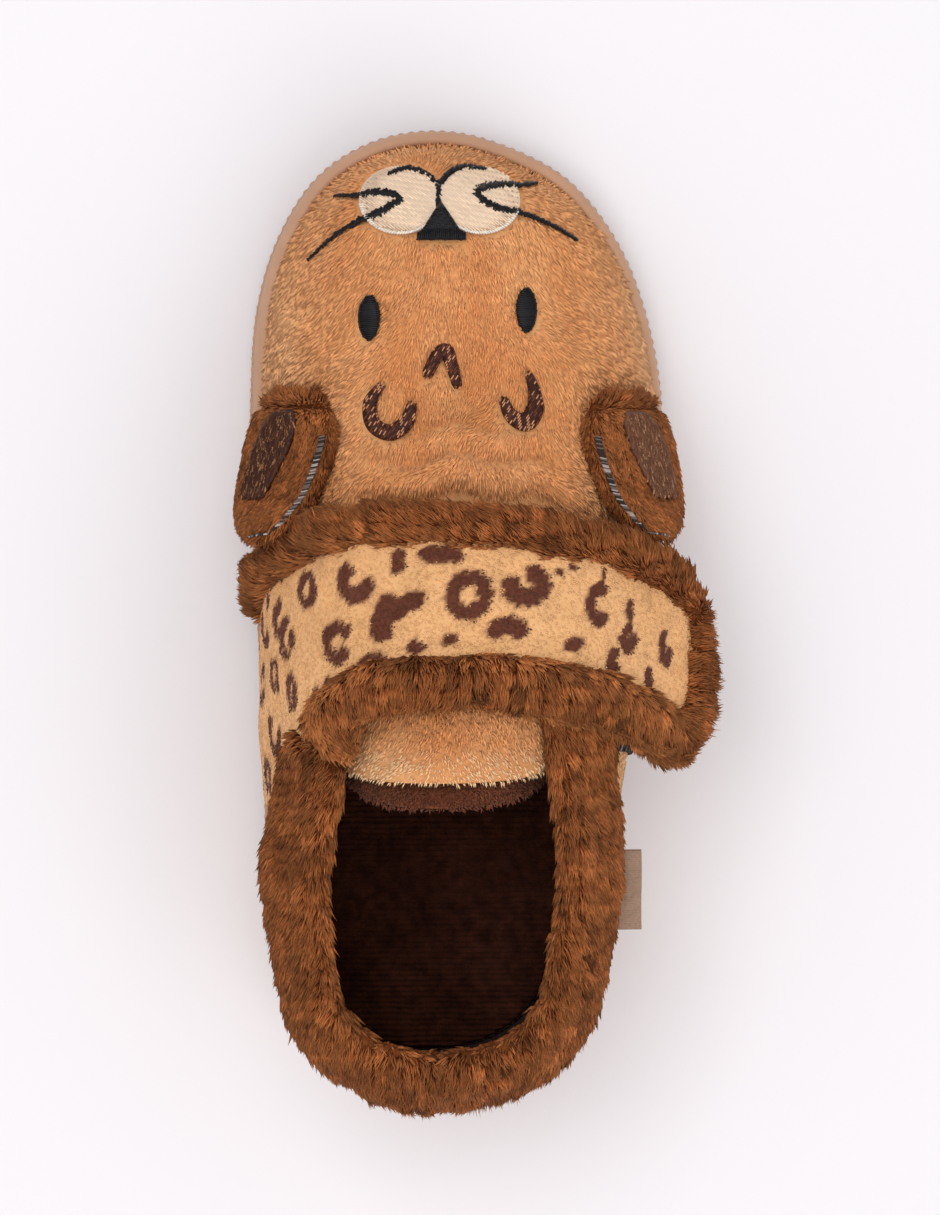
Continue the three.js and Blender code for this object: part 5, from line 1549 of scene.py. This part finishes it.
strap_share = np.linspace(0, 1, STRAP_ROWS)
strap_shape = {name: strap_value(name, strap_share) for name in STRAP_COLUMNS}
strap_grid = arch_layer(
    strap_shape["across"], strap_shape["rear"], strap_shape["front"], strap_shape["under"],
    strap_shape["thick"] * STRAP_THICKNESS, STRAP_CELLS,
    STRAP_WAVES, strap_shape["thin"],
)
strap_top = strap_grid[:, :STRAP_CELLS:-1]


def strap_arc():
    """Distances over the strap's top from the crest, along each line of its grid."""
    reached = lengths_along(strap_top)
    crest = np.interp(0, strap_shape["across"], np.arange(STRAP_ROWS))
    low = int(crest)
    return reached - (reached[low] + (crest - low) * (reached[low + 1] - reached[low]))


def on_grid(values, i, j):
    """A grid's values at places between its points."""
    i0, j0 = np.clip(i.astype(int), 0, values.shape[0] - 2), np.clip(j.astype(int), 0, values.shape[1] - 2)
    s, t = i - i0, j - j0
    first = values[i0, j0] * (1 - s) + values[i0 + 1, j0] * s
    return first * (1 - t) + (values[i0, j0 + 1] * (1 - s) + values[i0 + 1, j0 + 1] * s) * t


strap_from_crest = strap_arc()
spot_row = np.interp(STRAP_SPOTS[:, 1], strap_shape["across"], np.arange(STRAP_ROWS))
spot_line = np.array([
    np.interp(along * SOLE_LENGTH, strap_top[int(row), :, 1], np.arange(STRAP_CELLS + 1))
    for along, row in zip(STRAP_SPOTS[:, 0], spot_row)
])
strap_spots = STRAP_SPOTS.copy()
strap_spots[:, 0] *= SOLE_LENGTH
strap_spots[:, 7] *= SPOTS_THICKER
strap_spots[:, 1] = on_grid(strap_from_crest, spot_row, spot_line)


def strap_print(i, j, points):
    """The charted spots, and the repeat where the strap runs down into the inner quarter."""
    first, second = points[:, 1], on_grid(strap_from_crest, i, j)
    wobble = 0.2 * ripple(points, 1.7, 93)
    charted = spotted(first, second, strap_spots, None, wobble)
    root = np.interp(i, np.arange(STRAP_ROWS), strap_shape["across"]) < SPOTS_FROM
    return np.maximum(charted, root * spotted(first, second, REPEAT_SPOTS, REPEAT, wobble))


points, faces = closed_layer(strap_grid)
i, j = np.divmod(np.arange(len(points)), 2 * (STRAP_CELLS + 1))
on_top = j > STRAP_CELLS
share = np.zeros(len(points))
line = 2 * STRAP_CELLS + 1 - j
share[on_top] = strap_print(*(each[on_top] for each in (i.astype(float), line.astype(float), points)))
tint = printed(points, share)
tint[~on_top] = BROWN_FLEECE
strap = make_piece("strap_pad", points, [faces], plush_print, tint, ["strap"])

roots, normals, i, j = scatter(strap_top, STRAP_FIBRES, pile_random, None, False)
sideways = np.array([0.9, -0.3, 0]) * np.sign(across_of(roots) + 0.9)[:, None] - np.array([0, 0, 0.2])
colours = shades_of(printed(roots, strap_print(i, j, roots)), pile_random, 0.9, 1.05, 0.045)
pile(
    "strap_pile", "spotted_plush", plush_fibre, pile_random, roots, normals,
    sideways + swung(roots, 0.3, 9, 94), length=0.62, width=0.28, lift=0.14, colours=colours, tangle=0.45,
)

# Strap binding: the same strip of fur, along the strap's two edges and round its free end. It is
# brushed away from the strap, and along the front edge towards the inner side too.
STRAP_ROLL_ROWS = 260
STRAP_FUR_FIBRES = 35500
strap_roll = roll(binding, BINDING_SEAM, BINDING_END, STRAP_ROLL_ROWS, 22, fur_relief, (0.05, 0.35))
fur_piece("strap_fur_skin", strap_roll, ["strap_binding"], 84)
roots, normals, i, _ = scatter(strap_roll, STRAP_FUR_FIBRES, fur_random, outside_of_room)
place = BINDING_SEAM + i / (STRAP_ROLL_ROWS - 1) * (BINDING_END - BINDING_SEAM)
side = path_frame(binding, place)[1]
turned_back = smooth_step(BINDING_END - 15, BINDING_END - 13, place)[:, None]
spread = np.stack([across_of(roots), 0 * i, 0 * i], 1)
lie = -side * (0.9 - 0.3 * turned_back) + (1 - turned_back) * 0.55 * spread
lie = lie + turned_back * np.array([-0.65, 0, 0])
colours = fur_shades(roots, 84, fur_random)
pile(
    "strap_fur", "brown_fur", fur_fibre, fur_random, roots, normals, lie + swung(roots, 0.3, 9, 96),
    length=3.3, width=FUR_WIDTH, lift=0.38, colours=colours, **LONG_TUFTS,
)

# Fastener: the soft loop tape sewn on the outer quarter, and the hook tape under the strap's end.
TAPE_THICKNESS = 1.2
LOOP_TAPE = {"from": 0.6, "to": 0.8, "rear": 0.385, "front": 0.5}
HOOK_TAPE = {"from": 0.6, "to": 0.78, "in_rear": 6, "in_front": 5.4}
TAPE_GREY = linear(70, 60, 56)
TAPE_WAVES = ((0.05, 1.5, 112),)
TAPE_LOOPS = 1300

tape_cloth = tinted_material("fastener_tape", 0.85, 0.2, 0.1, (1600, 0.35), (2600, 0.8, 0.2))
tape_random = np.random.default_rng(111)


def flat_tape(name, across, rear, front, low, replaced):
    """A tape's cloth over a run of the foot. Gives its loops, for the hooks or loops on it."""
    grid = arch_layer(across, rear, front, low, TAPE_THICKNESS, 20, TAPE_WAVES)
    points, faces = closed_layer(grid)
    make_piece(name, points, [faces], tape_cloth, TAPE_GREY, [replaced])
    return grid


across = np.linspace(LOOP_TAPE["from"], LOOP_TAPE["to"], 40)
loop_grid = flat_tape(
    "loop_tape_cloth", across, LOOP_TAPE["rear"], LOOP_TAPE["front"], FIT_GAP, "loop_tape"
)
share = np.linspace(HOOK_TAPE["from"], HOOK_TAPE["to"], 40)
hook_rear = strap_value("rear", share) + HOOK_TAPE["in_rear"] / SOLE_LENGTH
hook_front = strap_value("front", share) - HOOK_TAPE["in_front"] / SOLE_LENGTH
hook_low = strap_value("under", share) - FIT_GAP - TAPE_THICKNESS
across = strap_value("across", share)
hook_grid = flat_tape("hook_tape_cloth", across, hook_rear, hook_front, hook_low, "hook_tape")
for name, grid, facing, length in (
    ("loop_tape_loops", loop_grid, 1, 0.8), ("hook_tape_hooks", hook_grid, -1, 0.55)
):
    def outer_face(middles, normals):
        return smooth_step(0, 0.4, facing * normals[:, 2])

    roots, normals, _, _ = scatter(grid, TAPE_LOOPS, tape_random, outer_face)
    colour = TAPE_GREY * (1 + 0.3 * tape_random.normal(size=(len(roots), 1)))
    every_way = tape_random.normal(size=roots.shape)
    colours = shades_of(colour, tape_random, 0.8, 1.3)
    pile(
        name, "fastener_tape", tape_cloth, tape_random, roots, normals, every_way,
        length, width=0.2, lift=1.1, colours=colours, tangle=0.8,
    )

# Ears: padded flaps of brown fur, sewn on at a tucked front edge. They lie back along the vamp and
# stand off it. Each has a stitched patch on its outer half and overlock stitches round its edge.
EAR_THICKNESS = 3.6
EAR_LENGTH = 24
EAR_BOW = 1.2
EAR_EDGE = 0.35
EAR_LOWER = {1: 0, -1: 0.028}
EAR_ROOT = 0.722
EAR = np.array([  # back, the inner and outer edge across the foot, and the heights of these edges
    [0, 0.42, 0.58, 1.7, 1.7],
    [0.08, 0.382, 0.64, 2.1, 2.2],
    [0.28, 0.362, 0.69, 2.2, 3.3],
    [0.5, 0.38, 0.715, 2.5, 4.1],
    [0.72, 0.41, 0.715, 3.4, 4.8],
    [0.88, 0.45, 0.67, 4.8, 5.0],
    [0.97, 0.49, 0.6, 5.4, 5.2],
    [1, 0.515, 0.56, 5.5, 5.3],
])
EAR_PATCH = np.array([  # back, and the patch's inner and outer edge as shares of the ear's width
    [0.12, 0.34, 0.5],
    [0.14, 0.3, 0.58],
    [0.2, 0.28, 0.66],
    [0.4, 0.32, 0.73],
    [0.6, 0.39, 0.755],
    [0.68, 0.42, 0.745],
    [0.71, 0.46, 0.71],
])
EAR_FIBRES = 9500
PATCH_STITCHES = 900
SEAM_THREAD = 0.3
TUCK = 0.1  # share of the ear's length where the seam draws its front edge in
SEAM_GREYS = np.array([linear(52, 42, 40), linear(112, 100, 95), linear(176, 166, 158)])
PATCH_BROWNS = {
    -1: np.array([linear(60, 31, 20), linear(86, 47, 28), linear(160, 112, 72)]),
    1: np.array([linear(100, 62, 42), linear(124, 82, 57), linear(164, 122, 92)]),
}


def ear_point(side, back, beside, height, extra=0.0):
    """A point of an ear: back from its root at 0 to its tip at 1, beside from its inner edge at 0 to
    its outer one at 1, and height from its underside to its crown, plus a distance. The padding is
    the root of a parabola across the ear, a little fuller at the root than at the tip."""
    back, beside, height, extra = np.broadcast_arrays(back, beside, height, extra)
    along = EAR_ROOT - back * EAR_LENGTH / SOLE_LENGTH
    bow = 4 * beside * (1 - beside)
    ends = np.minimum(1, np.minimum(0.25 + 3 * back, 0.2 + 6 * (1 - back)))
    tucked = 0.9 * np.exp(-(((back - TUCK) / 0.03) ** 2))
    full = EAR_EDGE + (1 - EAR_EDGE) * np.sqrt(np.maximum(0, bow * ends))
    offset = extra + (height - 0.5) * full * EAR_THICKNESS - tucked * (height > 0.5)
    place = np.interp(back, EAR[:, 0], np.arange(len(EAR)))
    inner, outer, rise, flare = np.moveaxis(path_values(EAR[:, 1:], place), -1, 0)
    across = [side * (EAR_LOWER[side] + edge) for edge in (inner, outer)]
    first = arch_point(along, across[0], rise + offset)
    second = arch_point(along, across[1], flare + offset)
    middle = (across[0] + across[1]) / 2
    lifted = arch_point(along, middle, EAR_BOW * bow) - arch_point(along, middle, 0)
    return first + (second - first) * beside[..., None] + lifted


EAR_CELLS = 24
EAR_LINES = 52
ear_back = 0.5 - 0.5 * np.cos(np.linspace(0, np.pi, EAR_LINES))
ear_beside = 0.5 - 0.5 * np.cos(np.linspace(0, np.pi, EAR_CELLS + 1))


def patch_edges(back):
    """The patch's inner and outer edge at a place along the ear."""
    return [np.interp(back, EAR_PATCH[:, 0], EAR_PATCH[:, k]) for k in (1, 2)]


def in_patch(back, beside, margin):
    """Whether a place of the ear is in its patch, drawn in by a margin."""
    low, high = patch_edges(back)
    held = (back > EAR_PATCH[0, 0] + margin) & (back < EAR_PATCH[-1, 0] - margin)
    return held & (beside > low + margin) & (beside < high - margin)


def build_ear(name, side, seed):
    """An ear's padded skin and fur, with its patch, the patch's stitches and the overlocked edge."""
    random = np.random.default_rng(seed)
    lower = ear_point(side, ear_back[:, None], ear_beside[None], 0.0)
    crown = ear_point(side, ear_back[:, None], ear_beside[None], 1.0)
    grid = np.concatenate([lower, crown[:, ::-1]], 1)
    points, faces = closed_layer(grid)
    # The skin under the fur is darkened to 0.55 as painted shade beneath the fibres.
    tint = fur_tint(points, seed) * 0.55
    skin = make_piece(f"ear_{name}_skin", points, [faces], fur_skin, tint, [f"ear_{name}"])

    roots, normals, i, j = scatter(grid, EAR_FIBRES, random, lambda p, n: smooth_step(-0.5, 0.2, n[:, 2]))
    back = np.interp(i, np.arange(EAR_LINES), ear_back)
    beside = np.interp(2 * EAR_CELLS + 1 - j, np.arange(EAR_CELLS + 1), ear_beside)
    clear = ~((j > EAR_CELLS + 1) & in_patch(back, beside, 0.02))
    roots, normals, back, beside = (values[clear] for values in (roots, normals, back, beside))
    forward = smooth_step(TUCK + 0.02, TUCK - 0.02, back)
    lie = np.stack([side * (0.2 + 0.6 * (beside - 0.4)), -0.9 + 1.6 * forward, -0.2 + 0 * back], 1)
    pile(
        f"ear_{name}_fur", "brown_fur", fur_fibre, random, roots, normals,
        lie + swung(roots, 0.3, 7, seed + 1), length=2.0, width=FUR_WIDTH, lift=0.38,
        colours=fur_shades(roots, seed, random), tangle=0.26, gather=0.55, gather_size=1.3, tuft_tone_and_border_shade=0.18,
    )

    rows = np.linspace(EAR_PATCH[0, 0], EAR_PATCH[-1, 0], 30)
    across = np.linspace(0, 1, 13)[None]
    low, high = (edge[:, None] for edge in patch_edges(rows))
    beside = low + (high - low) * across
    under, over = (ear_point(side, rows[:, None], beside, 1.0, lift) for lift in (FIT_GAP, PAD_TOP))
    points, faces = closed_layer(np.concatenate([under, over[:, ::-1]], 1))
    patch = f"ear_patch_{name}"
    make_piece(patch + "_pad", points, [faces], brown_gloss, PATCH_BROWNS[side][0], [patch])

    back = random.uniform(EAR_PATCH[0, 0] + 0.01, EAR_PATCH[-1, 0] - 0.03, PATCH_STITCHES)
    low, high = patch_edges(back)
    beside = low + (high - low) * random.uniform(0.04, 0.96, PATCH_STITCHES)
    top = PAD_TOP + 0.02
    starts = ear_point(side, back, beside, 1.0, top)
    ends = ear_point(side, back + 0.055, beside + 0.02 * random.normal(size=PATCH_STITCHES), 1.0, top)
    normals = unit_of(ear_point(side, back, beside, 1.0, 1.0) - ear_point(side, back, beside, 1.0))
    colours = PATCH_BROWNS[side][random.choice(3, PATCH_STITCHES, p=(0.55, 0.33, 0.12))]
    stitches(
        patch + "_stitches", starts, ends, normals, SEAM_THREAD, colours, brown_gloss, 0.1
    )

    along, round_tip = 66, 14  # overlock stitches up the inner edge and round the tip
    at = np.concatenate([np.linspace(0.3, 0.95, along), np.linspace(0.955, 0.975, round_tip)])
    edge_from = np.concatenate([np.full(along, 0.03), np.linspace(0.03, 0.5, round_tip)])
    starts = ear_point(side, at, edge_from - 0.02, 1.0, 0.55)
    ends = ear_point(side, at + 0.012, edge_from + 0.035, 1.0, 0.7)
    normals = unit_of(np.stack([-side + 0 * at, 0 * at, 1 + 0 * at], 1))
    colours = SEAM_GREYS[random.choice(3, len(at), p=(0.45, 0.35, 0.2))]
    stitches(
        f"ear_{name}_overlock", starts, ends, normals, SEAM_THREAD, colours, brown_gloss, 0.5
    )


build_ear("inner", -1, 121)
build_ear("outer", 1, 131)

# The overlocked rear edge of the cloth under the loop tape, which shows beside the strap's end.
LOOP_EDGE = {"from": 0.44, "start": 0.362, "end": 0.351, "half": 0.006, "stitches": 86}
across = np.linspace(LOOP_EDGE["from"], LOOP_TAPE["to"], LOOP_EDGE["stitches"])
edge = np.linspace(LOOP_EDGE["start"], LOOP_EDGE["end"], LOOP_EDGE["stitches"])
starts = arch_point(edge - LOOP_EDGE["half"], across, 0.8)
ends = arch_point(edge + LOOP_EDGE["half"], across, 1.3)
normals = unit_of(arch_point(0.375, across, 2) - arch_point(0.375, across, 0))
colours = SEAM_GREYS[tape_random.choice(3, len(across), p=(0.6, 0.3, 0.1))] * 0.7
stitches(
    "loop_tape_overlock", starts, ends, normals, 0.34, colours, brown_gloss, 0.5
)

# Side label: a strip of woven cloth, folded over, that stands out from under the collar's fur.
LABEL = {"length": 12.6, "reach": 4.9, "cloth": 0.5, "fold": 0.45, "drop": 10.2}
LABEL_CLEAR = 1.05
LABEL_ALONG = 0.213
LABEL_TILT = 0.3
LABEL_ROOT = 0.35
LABEL_CLOTH = linear(150, 122, 102)


def woven_cloth(name, pitch):
    """A plain weave: two waves across each other raise it and shade its gaps."""
    material = tinted_material(name, 0.75, 0.15, 0.2, (2200, 0.12), (4000, 0.4, 0.08))
    tree = material.node_tree
    normal = tree.nodes["Bump"].outputs["Normal"]
    for direction in ("Y", "Z"):
        normal = bumped(tree, ribs_at(tree, direction, pitch).outputs["Fac"], 0.5, 0.12, normal)
    tree.links.new(normal, tree.nodes["Principled BSDF"].inputs["Normal"])
    return material


label_turn = float(turn_at(LABEL_ALONG, True))
label_top = float(edge_angle(np.array(label_turn)))
moved = np.linalg.norm(upper_point(label_turn, label_top) - upper_point(label_turn, label_top - 0.01))
label_seat = upper_point(label_turn, label_top - LABEL["drop"] * 0.01 / moved, FIT_GAP)
label_seat = label_seat + np.array([LABEL_CLEAR, 0, 0])
half = LABEL["cloth"] + LABEL["fold"] / 2
bend = LABEL["reach"] - half
straight = np.linspace(-LABEL_ROOT, bend, 12)
turn = np.linspace(QUARTER_TURN, -QUARTER_TURN, 17)[1:-1]


def label_side(offset):
    """One face of the folded strip: out along the top, round the fold and back underneath."""
    return np.concatenate([
        np.stack([straight, 0 * straight + offset], 1),
        np.stack([bend + offset * np.cos(turn), offset * np.sin(turn)], 1),
        np.stack([straight[::-1], 0 * straight - offset], 1),
    ])


profile = np.concatenate([label_side(half), label_side(LABEL["fold"] / 2)[::-1]])
beside = np.linspace(-LABEL["length"] / 2, LABEL["length"] / 2, 24)
out = np.maximum(0, profile[None, :, 0])
sag = 0.12 * np.sin(beside / LABEL["length"] * 7)[:, None] * out / LABEL["reach"]
x, z = np.broadcast_to(profile[:, 0], sag.shape), profile[None, :, 1] + sag
label_grid = np.stack([
    label_seat[0] + x * math.cos(LABEL_TILT) + z * math.sin(LABEL_TILT),
    label_seat[1] + beside[:, None] + 0 * x,
    label_seat[2] - x * math.sin(LABEL_TILT) + z * math.cos(LABEL_TILT),
], -1)
points, faces = closed_layer(label_grid)
label_cloth = woven_cloth("woven_label", 0.35)
tint = LABEL_CLOTH * (1 + 0.06 * ripple(points, 2, 141))[:, None]
label = make_piece("side_label_strip", points, [faces], label_cloth, tint, ["side_label"])
